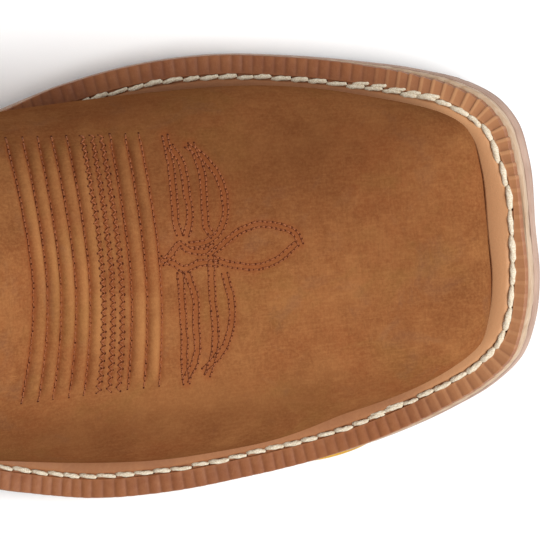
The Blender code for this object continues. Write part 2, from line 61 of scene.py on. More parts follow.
# Driving sizes of the boot, as its solids have them
LENGTH = 0.305
BALL_WIDTH = 0.112
BOOT_HEIGHT = 0.305
COLLAR_DIP = 0.028
INSTEP_HEIGHT = 0.110
HEEL_HEIGHT = 0.027
TOE_SPRING = 0.013
HEEL_CAP_THICKNESS = 0.0075
OUTSOLE_THICKNESS = 0.0055
MIDSOLE_THICKNESS = 0.0035
WELT_THICKNESS = 0.0030
INSOLE_THICKNESS = 0.0055
UPPER_WALL = 0.0024
COUNTER_HEIGHT = 0.066
GAP = 0.0003
UPPER_SEAT = 0.0005
ORIGIN_AT = 0.115
HEEL_BREAST_AT = 0.235
SHANK_ENDS_AT = 0.60
SPRING_STARTS_AT = 0.76
SPRING_POWER = 1.7
CREST_FREE_AT = 0.35
WELT_MARGIN = 0.0102
TREAD_DEPTH = 0.0015
TREAD_GROOVE = 0.0025
TREAD_PITCH = 0.0125
TREAD_FROM = 0.56
TREAD_TO = 0.97
HEEL_TREAD_FROM = 0.03
HEEL_TREAD_TO = 0.21
HEEL_TAPER = 0.90
HEEL_BACK_SLOPE = 0.004
HEEL_BREAST_SLOPE = 0.003
STRAP_WIDTH = 0.026
STRAP_THICKNESS = 0.0018
STRAP_LEG = 0.046
STRAP_LOOP = 0.018
STRAP_BULGE = 0.014
LOOP_SAMPLES = 720
ARCH_SAMPLES = 60

# The sole's outline, from above, a little fuller than its solids' on the outer side: stations as shares
# of LENGTH, half-widths as shares of BALL_WIDTH
Outline = namedtuple("Outline", "at medial lateral")
OUTLINE = [
    Outline(0.0000, 0.000, 0.000),
    Outline(0.0080, 0.112, 0.118),
    Outline(0.0330, 0.218, 0.232),
    Outline(0.0850, 0.291, 0.306),
    Outline(0.1500, 0.308, 0.322),
    Outline(0.2450, 0.295, 0.330),
    Outline(0.3450, 0.284, 0.356),
    Outline(0.4450, 0.317, 0.433),
    Outline(0.5400, 0.379, 0.500),
    Outline(0.6100, 0.434, 0.529),
    Outline(0.6750, 0.465, 0.529),
    Outline(0.7400, 0.471, 0.511),
    Outline(0.8050, 0.452, 0.486),
    Outline(0.8700, 0.420, 0.445),
    Outline(0.9200, 0.388, 0.397),
    Outline(0.9570, 0.352, 0.348),
    Outline(0.9820, 0.305, 0.290),
    Outline(0.9950, 0.252, 0.214),
    Outline(1.0020, 0.160, 0.116),
    Outline(1.0025, 0.000, 0.000),
]

# How far the upper's bottom edge lies inside that outline, as a share of WELT_MARGIN
Margin = namedtuple("Margin", "at medial lateral")
MARGINS = [
    Margin(0.00, 0.30, 0.30),
    Margin(0.25, 0.30, 0.32),
    Margin(0.42, 0.42, 0.70),
    Margin(0.55, 0.66, 1.01),
    Margin(0.66, 0.92, 1.06),
    Margin(0.80, 0.98, 1.13),
    Margin(0.92, 1.00, 1.12),
    Margin(1.00, 1.00, 1.00),
]

# Sections of the foot, from the toe to the back of the heel. Base stations are shares of the length from
# the upper's back, crest stations of LENGTH, rise of INSTEP_HEIGHT above the sole, half-widths and shift
# of BALL_WIDTH. Widest is the share of the rise where the section is widest, round the exponent of its
# arch, and square how far the arch takes the toe's own outline.
Foot = namedtuple("Foot", "base crest rise lateral medial widest round square shift")
FOOT = [
    Foot(0.9050, 0.9680, 0.000, 0.300, 0.300, 0.00, 3.0, 1.00, 0.000),
    Foot(0.8900, 0.9715, 0.105, 0.306, 0.313, 0.16, 3.0, 1.00, 0.000),
    Foot(0.8680, 0.9590, 0.188, 0.325, 0.326, 0.22, 2.9, 0.85, 0.002),
    Foot(0.8350, 0.9250, 0.244, 0.354, 0.347, 0.27, 2.7, 0.50, 0.005),
    Foot(0.7900, 0.8660, 0.298, 0.389, 0.376, 0.30, 2.4, 0.15, 0.010),
    Foot(0.7260, 0.7880, 0.353, 0.438, 0.398, 0.31, 2.2, 0.00, 0.015),
    Foot(0.6560, 0.7080, 0.424, 0.457, 0.402, 0.31, 2.05, 0.00, 0.019),
    Foot(0.5840, 0.6300, 0.516, 0.446, 0.396, 0.30, 1.90, 0.00, 0.019),
    Foot(0.5020, 0.5600, 0.628, 0.418, 0.384, 0.29, 1.78, 0.00, 0.016),
    Foot(0.4070, 0.5080, 0.728, 0.382, 0.362, 0.28, 1.70, 0.00, 0.012),
    Foot(0.2980, 0.4750, 0.800, 0.355, 0.342, 0.27, 1.70, 0.00, 0.008),
    Foot(0.1830, 0.4580, 0.893, 0.343, 0.333, 0.27, 1.75, 0.00, 0.005),
    Foot(0.0950, 0.4505, 0.980, 0.339, 0.331, 0.28, 1.80, 0.00, 0.003),
    Foot(0.0400, 0.4485, 1.049, 0.337, 0.333, 0.29, 1.84, 0.00, 0.002),
    Foot(0.0165, 0.4478, 1.097, 0.336, 0.334, 0.30, 1.88, 0.00, 0.001),
    Foot(0.0050, 0.4476, 1.115, 0.335, 0.335, 0.305, 1.89, 0.00, 0.000),
    Foot(0.0000, 0.4475, 1.125, 0.335, 0.335, 0.31, 1.90, 0.00, 0.000),
]

# Sections of the leg, from the back of the heel to the collar. Back and front are shares of LENGTH, from
# the upper's back on the sole and from the sole's back. Half is the half-width as a share of BALL_WIDTH.
# Low and high are shares of the way up from the foot's last section to the collar, back and front.
Leg = namedtuple("Leg", "back front low high half widest round scallop")
LEG = [
    Leg(0.0000, 0.4475, 0.000, 0.000, 0.335, 0.31, 1.90, 0.00),
    Leg(-0.0045, 0.4470, 0.070, 0.077, 0.336, 0.32, 1.92, 0.00),
    Leg(0.0100, 0.4472, 0.160, 0.173, 0.340, 0.34, 1.95, 0.00),
    Leg(0.0310, 0.4490, 0.266, 0.296, 0.347, 0.38, 1.98, 0.02),
    Leg(0.0400, 0.4527, 0.390, 0.440, 0.361, 0.43, 2.00, 0.08),
    Leg(0.0340, 0.4583, 0.531, 0.607, 0.384, 0.47, 2.03, 0.25),
    Leg(0.0200, 0.4650, 0.690, 0.768, 0.409, 0.49, 2.05, 0.52),
    Leg(0.0060, 0.4712, 0.853, 0.905, 0.430, 0.50, 2.05, 0.80),
    Leg(-0.0010, 0.4755, 1.000, 1.000, 0.441, 0.50, 2.05, 1.00),
]

# The heel counter's top edge: stations as shares of LENGTH, heights above the sole of COUNTER_HEIGHT
Counter = namedtuple("Counter", "at height")
COUNTER = [
    Counter(-0.06, 1.01),
    Counter(0.000, 1.00),
    Counter(0.060, 0.95),
    Counter(0.120, 0.83),
    Counter(0.190, 0.69),
    Counter(0.260, 0.55),
    Counter(0.320, 0.32),
    Counter(0.365, -0.05),
    Counter(0.400, -0.45),
    Counter(0.600, -0.60),
]


# Curves and the sole's lines

def column(table, name):
    """One named column of a table, as an array."""
    return np.array([getattr(row, name) for row in table], float)


def curve(knots, values, at):
    """A smooth curve through values at the knots, with each slope taken from its two neighbours."""
    knots, values, at = np.asarray(knots, float), np.asarray(values, float), np.asarray(at, float)
    slopes = np.gradient(values, knots, axis=0)
    k = np.clip(np.searchsorted(knots, at, side="right") - 1, 0, len(knots) - 2)
    step = knots[k + 1] - knots[k]
    t = (at - knots[k]) / step
    if values.ndim > 1:
        t, step = t[..., None], step[..., None]
    return (
        (2 * t**3 - 3 * t**2 + 1) * values[k]
        + (t**3 - 2 * t**2 + t) * step * slopes[k]
        + (3 * t**2 - 2 * t**3) * values[k + 1]
        + (t**3 - t**2) * step * slopes[k + 1]
    )


def smooth_step(t):
    t = np.clip(t, 0, 1)
    return t * t * (3 - 2 * t)


def window(value, start, rise, end, fall):
    """1 between a start and an end, with a smooth rise from the one and a smooth fall to the other."""
    return smooth_step((value - start) / rise) * smooth_step((end - value) / fall)


def hump(t):
    """1 at 0, falling smoothly to 0 at -1 and 1."""
    return np.clip(1 - np.asarray(t) ** 2, 0, 1) ** 2


def unit(vectors):
    return vectors / np.maximum(np.linalg.norm(vectors, axis=-1, keepdims=True), 1e-12)


def nearness(away, reach):
    """1 at no distance, falling like a bell to nearly 0 at twice the reach."""
    return np.exp(-((away / reach) ** 2))


def running(steps, axis=0):
    """The sums of the steps from the start to each of the points between them, from 0."""
    return np.insert(np.cumsum(steps, axis=axis), 0, 0, axis=axis)


def run_along(points):
    """The distance along a polyline, at each of its points."""
    return running(np.linalg.norm(np.diff(points, axis=0), axis=1))


def read_at(at, knots, values):
    """The columns of values given at the knots, at other places between them."""
    return np.column_stack([np.interp(at, knots, numbers) for numbers in values.T])


def station_of(x):
    return x + ORIGIN_AT * LENGTH


def bottom_height(station):
    """Height above the floor of the outsole's underside: heel seat, shank, flat tread, toe spring."""
    share = np.asarray(station, float) / LENGTH
    shank = (SHANK_ENDS_AT - share) / (SHANK_ENDS_AT - HEEL_BREAST_AT)
    spring = (share - SPRING_STARTS_AT) / (1 - SPRING_STARTS_AT)
    return HEEL_HEIGHT * smooth_step(shank) + TOE_SPRING * np.maximum(spring, 0) ** SPRING_POWER


def lifted(station, height):
    """X and Z of a point above the bottom line, height being measured square to that line."""
    station = np.asarray(station, float)
    tiny = LENGTH * 1e-4
    slope = (bottom_height(station + tiny) - bottom_height(station - tiny)) / (2 * tiny)
    run = np.sqrt(1 + slope**2)
    x = station - ORIGIN_AT * LENGTH - height * slope / run
    return x, bottom_height(station) + height / run


def outline_loop():
    """Stations and sides of the sole's outline, evenly spaced: back, outer side, toe, inner side."""
    at = column(OUTLINE, "at") * LENGTH
    outer = np.column_stack([at, -column(OUTLINE, "lateral") * BALL_WIDTH])
    inner = np.column_stack([at, column(OUTLINE, "medial") * BALL_WIDTH])
    around = np.vstack([outer, inner[-2:0:-1]])
    wrap = 3
    points = np.vstack([around[-wrap:], around, around[: wrap + 1]])
    chord = run_along(points)
    fine = np.linspace(chord[wrap], chord[wrap + len(around)], 4 * LOOP_SAMPLES + 1)
    dense = curve(chord, points, fine)
    run = run_along(dense)
    even = np.linspace(0, run[-1], LOOP_SAMPLES + 1)[:-1]
    return read_at(even, run, dense), run[-1]


def outward(loop):
    """The unit normals of a closed loop, pointing out."""
    along = np.roll(loop, -1, axis=0) - np.roll(loop, 1, axis=0)
    return unit(np.column_stack([along[:, 1], -along[:, 0]]))


def margin_of(loop):
    """How far inside the outline the upper's bottom edge lies, at each point of the loop."""
    share = np.clip(loop[:, 0] / LENGTH, 0, 1)
    inner = curve(column(MARGINS, "at"), column(MARGINS, "medial"), share)
    outer = curve(column(MARGINS, "at"), column(MARGINS, "lateral"), share)
    weight = smooth_step(0.5 + loop[:, 1] / (0.4 * BALL_WIDTH))
    return WELT_MARGIN * (outer + (inner - outer) * weight)


def side_of(loop, side):
    """Half-width as a function of station on one side of a loop: side is -1 outer, 1 inner."""
    half = len(loop) // 2
    order = np.arange(half + 1) if side < 0 else np.arange(len(loop), half - 1, -1) % len(loop)
    points = loop[order]
    rising = np.maximum.accumulate(points[:, 0])

    def half_width(station):
        return np.interp(station, rising, side * points[:, 1], left=0, right=0)

    return half_width


SOLE, PERIMETER = outline_loop()
NORMALS = outward(SOLE)
MARGIN = margin_of(SOLE)
FEATHER = SOLE - NORMALS * MARGIN[:, None]
OUTER_EDGE, MEDIAL_EDGE = side_of(FEATHER, -1), side_of(FEATHER, 1)
HEEL_BACK, TOE_TIP = FEATHER[:, 0].min(), FEATHER[:, 0].max()
FOOT_KEYS, LEG_KEYS = len(FOOT) - 1, len(LEG) - 1
COLLAR = FOOT_KEYS + LEG_KEYS
STACK = OUTSOLE_THICKNESS + MIDSOLE_THICKNESS + WELT_THICKNESS + 2 * GAP + UPPER_SEAT


def around_sole(run, values):
    """Values given for the loop's samples, at runs round the sole's outline, smoothly."""
    place = np.asarray(run) / PERIMETER * LOOP_SAMPLES
    k = np.floor(place).astype(int)
    t = (place - k)[..., None]
    before, here, after, beyond = (values[(k + step) % LOOP_SAMPLES] for step in (-1, 0, 1, 2))
    bend = 2 * before - 5 * here + 4 * after - beyond + t * (3 * (here - after) + beyond - before)
    return here + 0.5 * t * (after - before + t * bend)


def run_at(station, side):
    """The run round the outline, from the back over the outer side, at which a side reaches a station."""
    half = LOOP_SAMPLES // 2
    picks = np.arange(half) if side < 0 else np.arange(half, LOOP_SAMPLES)
    return picks[np.argmin(abs(SOLE[picks, 0] - station))] / LOOP_SAMPLES * PERIMETER


# The upper's surface

def section_half(ends, half, widest, power, crest_side, side, toe_outline, square):
    """One side of a section, as even steps (rise, side): from its end up to its crest."""
    turn = np.linspace(0, math.pi / 2, ARCH_SAMPLES)
    low = widest * (1 - np.cos(turn))
    swell = np.clip(1 - (1 - low / max(widest, 1e-9)) ** 2, 0, 1) ** (0.5 + 0.5 * min(ends / half, 1))
    low_side = ends + (half - ends) * swell
    share = np.sin(turn)
    arch = (1 - share**power) ** (1 / power)
    arch = arch + (toe_outline(share) - arch) * square
    high = widest + (1 - widest) * share
    high_side = crest_side * side + (half - crest_side * side) * arch
    rise = np.concatenate([low, high[1:]])
    out = np.concatenate([low_side, high_side[1:]])
    return rise, side * out


def even_steps(points, segments):
    """The polyline again, in steps of equal length."""
    run = run_along(points)
    even = np.linspace(0, run[-1], segments + 1)
    return read_at(even, run, points)


def placed_half(base, crest, rise, out, scallop):
    """A half-section's points in space, between its base and its crest, seen from the side."""
    x = base[0] + rise * (crest[0] - base[0])
    z = base[1] + rise * (crest[1] - base[1]) + scallop * np.sin(math.pi * rise) ** 1.5
    return np.column_stack([x, out, z])


def table_at(table, at):
    """The table's row at a fractional index, as a row of the same columns."""
    keys = np.arange(len(table))
    return type(table[0])(*(float(curve(keys, column(table, name), at)) for name in table[0]._fields))


def toe_shape(half_width):
    """The toe's own outline ahead of the first section, from 1 at its base to 0 at the tip."""
    toe_base = HEEL_BACK + FOOT[0].base * (LENGTH - HEEL_BACK)
    return lambda share: half_width(toe_base + share * (TOE_TIP - toe_base)) / half_width(toe_base)


def foot_halves(at):
    """The outer and inner half of a section of the foot, each from the sole up to the crest."""
    row = table_at(FOOT, at)
    base_station = HEEL_BACK + max(row.base, 0) * (LENGTH - HEEL_BACK)
    crest_station = row.crest * LENGTH if at > 0 else TOE_TIP
    rise_above_sole = max(row.rise, 0)
    edge_x, edge_z = lifted(crest_station, STACK)
    free_x = crest_station - ORIGIN_AT * LENGTH
    free = smooth_step(rise_above_sole / CREST_FREE_AT)
    crest = (edge_x + (free_x - edge_x) * free, edge_z + rise_above_sole * INSTEP_HEIGHT)
    base = lifted(base_station, STACK)
    shift = row.shift * BALL_WIDTH
    square = min(max(row.square, 0), 1)
    halves = []
    for side, edge, half in ((-1, OUTER_EDGE, row.lateral), (1, MEDIAL_EDGE, row.medial)):
        end = float(edge(base_station))
        half = max(half * BALL_WIDTH, end)
        rise, out = section_half(
            end, half, max(row.widest, 0), row.round, shift, side, toe_shape(edge), square
        )
        halves.append(placed_half(base, crest, rise, out, 0))
    return halves


def leg_halves(at):
    """The outer and inner half of a section of the leg, each from its back up to its front."""
    row = table_at(LEG, at)
    back_start = bottom_height(0) + STACK
    front_station = FOOT[-1].crest * LENGTH
    front_start = bottom_height(front_station) + STACK + FOOT[-1].rise * INSTEP_HEIGHT
    collar = BOOT_HEIGHT - COLLAR_DIP
    back_x = HEEL_BACK + (row.back - ORIGIN_AT) * LENGTH
    base = (back_x, back_start + row.low * (collar - back_start))
    crest = ((row.front - ORIGIN_AT) * LENGTH, front_start + row.high * (collar - front_start))
    halves = []
    for side in (-1, 1):
        rise, out = section_half(0, row.half * BALL_WIDTH, row.widest, row.round, 0, side, np.cos, 0)
        halves.append(placed_half(base, crest, rise, out, row.scallop * COLLAR_DIP))
    return halves


ROWS_PER_SECTION = 4
HALF_STEPS = 48
JOIN_SMOOTHING = 24


def surface_table():
    """The upper's points at even places and ways across, with the turn from foot to leg smoothed."""
    rows = []
    for place in np.arange(COLLAR * ROWS_PER_SECTION + 1) / ROWS_PER_SECTION:
        halves = foot_halves(place) if place <= FOOT_KEYS else leg_halves(place - FOOT_KEYS)
        outer, inner = (even_steps(half, HALF_STEPS) for half in halves)
        rows.append(np.vstack([outer, inner[-2::-1]]))
    table = np.array(rows)
    place = np.arange(len(table)) / ROWS_PER_SECTION
    across = 1 - abs(np.linspace(-1, 1, table.shape[1]))
    weight = hump((place - FOOT_KEYS + 0.5) / 4)[:, None, None] * smooth_step(across / 0.3)[None, :, None]
    for _ in range(JOIN_SMOOTHING):
        middle = (table[:-2] + table[2:]) / 2
        table[1:-1] += 0.5 * weight[1:-1] * (middle - table[1:-1])
    return table


TABLE = surface_table()


def blend_weights(t):
    """The weights of four neighbours in a row, at a share of the way between the middle two."""
    return (
        0.5 * (-t + 2 * t**2 - t**3),
        0.5 * (2 - 5 * t**2 + 3 * t**3),
        0.5 * (t + 4 * t**2 - 3 * t**3),
        0.5 * (-(t**2) + t**3),
    )


def upper_at(place, across):
    """Points of the upper's outer surface at places and ways across, before any fold or thickness."""
    row = np.asarray(place, float) * ROWS_PER_SECTION
    col = (np.asarray(across, float) + 1) * HALF_STEPS
    row, col = np.broadcast_arrays(row, col)
    i = np.clip(np.floor(row).astype(int), 0, len(TABLE) - 2)
    j = np.clip(np.floor(col).astype(int), 0, TABLE.shape[1] - 2)
    by_row, by_col = blend_weights(row - i), blend_weights(col - j)
    total = 0
    for a in range(4):
        near = np.clip(i + a - 1, 0, len(TABLE) - 1)
        for b in range(4):
            over = np.clip(j + b - 1, 0, TABLE.shape[1] - 1)
            total = total + (by_row[a] * by_col[b])[..., None] * TABLE[near, over]
    return total


def upper_normals(place, across):
    """Outward unit normals of that surface. The two edges that meet up the back share theirs."""
    tiny = 0.02
    place, across = np.broadcast_arrays(np.asarray(place, float), np.asarray(across, float))
    higher, lower = (upper_at(np.clip(place + step, 0, COLLAR), across) for step in (tiny, -tiny))
    inner, outer = (upper_at(place, np.clip(across + step, -1, 1)) for step in (tiny, -tiny))
    normal = unit(np.cross(inner - outer, higher - lower))
    back = (abs(across) > 1 - tiny / 2) & (place > FOOT_KEYS)
    normal[back, 1] = 0
    return unit(normal)


# Meshes

def srgb(red, green, blue):
    """A colour given in 0 to 255, as the linear values that shaders take."""
    share = np.array([red, green, blue]) / 255
    linear = np.where(share <= 0.04045, share / 12.92, ((share + 0.055) / 1.055) ** 2.4)
    return (*map(float, linear), 1.0)


def add_piece(name, points, faces, material, slot, replaces=(), smooth=60, values=None, face_paint=None):
    """A mesh as a named piece of the boot. Values are per-point numbers that its material reads."""
    mesh = bpy.data.meshes.new(name)
    mesh.from_pydata(np.asarray(points, float).reshape(-1, 3).tolist(), [], faces)
    for key, numbers in (values or {}).items():
        layer = mesh.attributes.new(key, "FLOAT", "POINT")
        layer.data.foreach_set("value", np.asarray(numbers, np.float32).ravel())
    materials = material if isinstance(material, list) else [material]
    for made in materials:
        mesh.materials.append(made)
    if face_paint is not None:
        mesh.polygons.foreach_set("material_index", np.asarray(face_paint, np.int32))
    shape = bmesh.new()
    shape.from_mesh(mesh)
    bmesh.ops.remove_doubles(shape, verts=shape.verts, dist=1e-6)
    bmesh.ops.recalc_face_normals(shape, faces=shape.faces)
    shape.to_mesh(mesh)
    shape.free()
    mesh.shade_smooth()
    mesh.set_sharp_from_angle(angle=math.radians(smooth))
    piece = bpy.data.objects.new(name, mesh)
    bpy.context.scene.collection.objects.link(piece)
    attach(piece, "root")
    if replaces:
        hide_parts(*replaces)
    return piece


def padded(numbers, points):
    """Numbers for the first of a mesh's points, with zeros for the rest of them."""
    numbers = np.ravel(numbers)
    return np.concatenate([numbers, np.zeros(len(points) - len(numbers))])


def grid_faces(rows, cols, start=0, flip=False):
    """Quads over a grid of points, numbered row by row."""
    near = (np.arange(rows - 1)[:, None] * cols + np.arange(cols - 1)[None, :]).ravel() + start
    quads = np.column_stack([near, near + 1, near + cols + 1, near + cols])
    return (quads[:, ::-1] if flip else quads).tolist()


def ring_faces(size, near, far):
    """Quads between two closed rings of one size, whose points are numbered from near and from far."""
    j = np.arange(size)
    ahead = (j + 1) % size
    return np.column_stack([near + j, near + ahead, far + ahead, far + j]).tolist()


def shell(outer, inner, step, rim_ends):
    """A closed wall between a fine grid and a coarser one, whose rows and columns are every step-th.
    Each side edge has a rim up to its own row of rim_ends. Past it, the edge meets another edge."""
    rows, cols = outer.shape[:2]
    few_rows, few_cols = inner.shape[:2]
    points = np.vstack([outer.reshape(-1, 3), inner.reshape(-1, 3)])
    start = rows * cols
    faces = grid_faces(rows, cols) + grid_faces(few_rows, few_cols, start, flip=True)

    def rim(fine, coarse, flip):
        for k in range(len(coarse) - 1):
            face = [coarse[k], coarse[k + 1], *fine[k * step: (k + 1) * step + 1][::-1]]
            faces.append([int(p) for p in (face[::-1] if flip else face)])

    for row, few_row, flip in ((0, 0, True), (rows - 1, few_rows - 1, False)):
        fine = row * cols + np.arange(cols)
        rim(fine, start + few_row * few_cols + np.arange(few_cols), flip)
    for end, col, few_col, flip in ((rim_ends[0], 0, 0, False), (rim_ends[1], cols - 1, few_cols - 1, True)):
        fine = np.arange(end + 1) * cols + col
        coarse = start + np.arange(end // step + 1) * few_cols + few_col
        rim(fine, coarse, flip)
    return points, faces


def cross_frame(paths, ups):
    """Two unit directions across each path, the second on the side of ups."""
    along = unit(np.gradient(paths, axis=1))
    side = unit(np.cross(along, ups))
    return side, np.cross(side, along)


def tubes(paths, ups, radii, sides=6, lobes=0, lobe_depth=0.0, twist=0.0, flat=1.0):
    """Closed round or twisted tubes along many paths at once. Paths and ups are (count, steps, 3)."""
    count, steps = paths.shape[:2]
    side, over = cross_frame(paths, ups)
    turn = np.arange(sides) / sides * 2 * math.pi
    run = np.arange(steps)[None, :, None]
    swell = 1 + lobe_depth * np.cos(lobes * (turn[None, None, :] - twist * run))
    reach = (np.asarray(radii)[..., None] * swell)[..., None]
    cos, sin = np.cos(turn)[None, None, :, None], np.sin(turn)[None, None, :, None]
    points = paths[:, :, None] + reach * (cos * side[:, :, None] + flat * sin * over[:, :, None])
    faces = []
    j = np.arange(sides)
    for m in range(count):
        for k in range(steps - 1):
            near = (m * steps + k) * sides
            faces += ring_faces(sides, near, near + sides)
        faces.append((m * steps * sides + j[::-1]).tolist())
        faces.append(((m * steps + steps - 1) * sides + j).tolist())
    return points.reshape(-1, 3), faces


def discs(centres, normals, alongs, radius, long=1.0, lift=0.00004, sides=8):
    """Small flat lenses lying on a surface: dots of painted shade standing for needle holes."""
    count = len(centres)
    side = unit(np.cross(normals, alongs))
    forward = np.cross(side, normals)
    turn = np.arange(sides) / sides * 2 * math.pi
    reach = np.broadcast_to(np.asarray(radius, float).reshape(-1, 1, 1), (count, 1, 1))
    rim = centres[:, None] + reach * (
        np.cos(turn)[None, :, None] * long * forward[:, None] + np.sin(turn)[None, :, None] * side[:, None]
    )
    top = centres + normals * lift
    low = centres - normals * 4 * lift
    points = np.concatenate([rim, top[:, None], low[:, None]], axis=1)
    faces = []
    j = np.arange(sides)
    for m in range(count):
        start = m * (sides + 2)
        upper = np.column_stack([start + j, start + (j + 1) % sides, np.full(sides, start + sides)])
        lower = np.column_stack([start + (j + 1) % sides, start + j, np.full(sides, start + sides + 1)])
        faces += upper.tolist() + lower.tolist()
    return points.reshape(-1, 3), faces


def loop_solid(rings, across=1, bottom=None):
    """A solid through closed rings of points, from the lowest ring to the highest. Points k and -1-k of a
    ring lie opposite each other, and both caps run straight between them. Bottom may move its points."""
    size = len(rings[0])
    half = size // 2
    points = list(rings)
    faces = []
    for i in range(len(rings) - 1):
        faces += ring_faces(size, i * size, (i + 1) * size)
    total = len(rings) * size
    for ring_index, flip in ((0, True), (len(rings) - 1, False)):
        ring = rings[ring_index]
        start = ring_index * size
        share = np.linspace(0, 1, across + 1)[1:-1][None, :, None]
        inside = ring[1: half - 1, None] * (1 - share) + ring[-2: half: -1, None] * share
        if ring_index == 0 and bottom is not None:
            inside = bottom(inside)
        points.append(inside.reshape(-1, 3))
        index = total + np.arange((half - 2) * (across - 1)).reshape(half - 2, across - 1)
        total += index.size
        near_side = start + np.arange(1, half - 1)
        far_side = start + size - 1 - np.arange(1, half - 1)
        grid = np.column_stack([near_side, index, far_side])
        quads = np.stack([grid[:-1, :-1], grid[:-1, 1:], grid[1:, 1:], grid[1:, :-1]], axis=-1).reshape(-1, 4)
        ends = [[start, *grid[0], start + size - 1], [*grid[-1], start + half, start + half - 1]]
        for face in quads.tolist() + [[int(p) for p in end] for end in ends]:
            faces.append(face[::-1] if flip else face)
    return np.vstack(points), faces


# Materials

class Shade:
    """A material under construction, with short calls for the nodes it is made of."""

    def __init__(self, name, roughness=0.6, specular=0.35, **constants):
        self.material = bpy.data.materials.new(name)
        self.material.use_nodes = True
        self.tree = self.material.node_tree
        self.shader = self.tree.nodes["Principled BSDF"]
        self.shader.inputs["Roughness"].default_value = roughness
        self.shader.inputs["Specular IOR Level"].default_value = specular
        for key, value in constants.items():
            self.shader.inputs[key.replace("_", " ")].default_value = value
        self.place = self.node("TexCoord", {}, "Object")

    def node(self, kind, inputs, output=0, **settings):
        made = self.tree.nodes.new("ShaderNode" + kind)
        for key, value in settings.items():
            setattr(made, key, value)
        for key, value in inputs.items():
            if isinstance(value, bpy.types.NodeSocket):
                self.tree.links.new(value, made.inputs[key])
            else:
                made.inputs[key].default_value = value
        return made.outputs[output]

    def stretched(self, scale, turn=(0, 0, 0)):
        return self.node("Mapping", {"Vector": self.place, "Scale": scale, "Rotation": turn})

    def noise(self, scale, detail=3.0, rough=0.55, where=None, warp=0.0):
        """Soft noise from 0 to 1, with a grain of about one over scale metres."""
        inputs = {"Scale": scale, "Detail": detail, "Roughness": rough, "Distortion": warp}
        return self.node("TexNoise", {"Vector": where or self.place, **inputs}, "Fac")

    def cells(self, scale):
        return self.node("TexVoronoi", {"Vector": self.place, "Scale": scale}, "Distance")

    def spread(self, value, low, high, to_low=0.0, to_high=1.0):
        """The value's range from low to high, stretched smoothly to another range."""
        return self.node(
            "MapRange",
            {"Value": value, "From Min": low, "From Max": high, "To Min": to_low, "To Max": to_high},
            interpolation_type="SMOOTHSTEP",
        )

    def number(self, key):
        return self.node("Attribute", {}, "Fac", attribute_name=key)

    def math(self, operation, a, b=0.0):
        return self.node("Math", {0: a, 1: b}, operation=operation)

    def times(self, a, b):
        return self.math("MULTIPLY", a, b)

    def mix(self, share, a, b, blend="MIX"):
        return self.node("Mix", {0: share, 6: a, 7: b}, 2, data_type="RGBA", blend_type=blend)

    def tinted(self, colour, tone, amount, noise, low, high):
        """The colour with some of another laid over it where the noise rises from low to high."""
        return self.mix(self.times(self.spread(noise, low, high), amount), colour, tone)

    def colour(self, value):
        self.tree.links.new(value, self.shader.inputs["Base Color"])

    def roughness(self, value):
        self.tree.links.new(value, self.shader.inputs["Roughness"])

    def bumps(self, *layers):
        """Bumps of (height, depth in metres), laid one over another."""
        normal = None
        for height, depth in layers:
            inputs = {"Height": height, "Distance": depth, "Strength": 1.0}
            if normal is not None:
                inputs["Normal"] = normal
            normal = self.node("Bump", inputs)
        self.tree.links.new(normal, self.shader.inputs["Normal"])


Leather = namedtuple("Leather", "middle dark light warm")
VAMP_TAN = Leather(srgb(129, 78, 45), srgb(91, 52, 28), srgb(167, 115, 70), srgb(129, 67, 37))
SHAFT_TAN = Leather(srgb(126, 72, 36), srgb(86, 48, 23), srgb(160, 104, 56), srgb(128, 64, 30))
COUNTER_TAN = Leather(srgb(130, 76, 38), srgb(90, 50, 24), srgb(164, 108, 58), srgb(130, 66, 31))
STRAP_TAN = Leather(srgb(114, 66, 34), srgb(80, 44, 22), srgb(150, 98, 54), srgb(116, 58, 30))
OLIVE_TINT = srgb(120, 84, 44)
GREY_TINT = srgb(116, 80, 58)


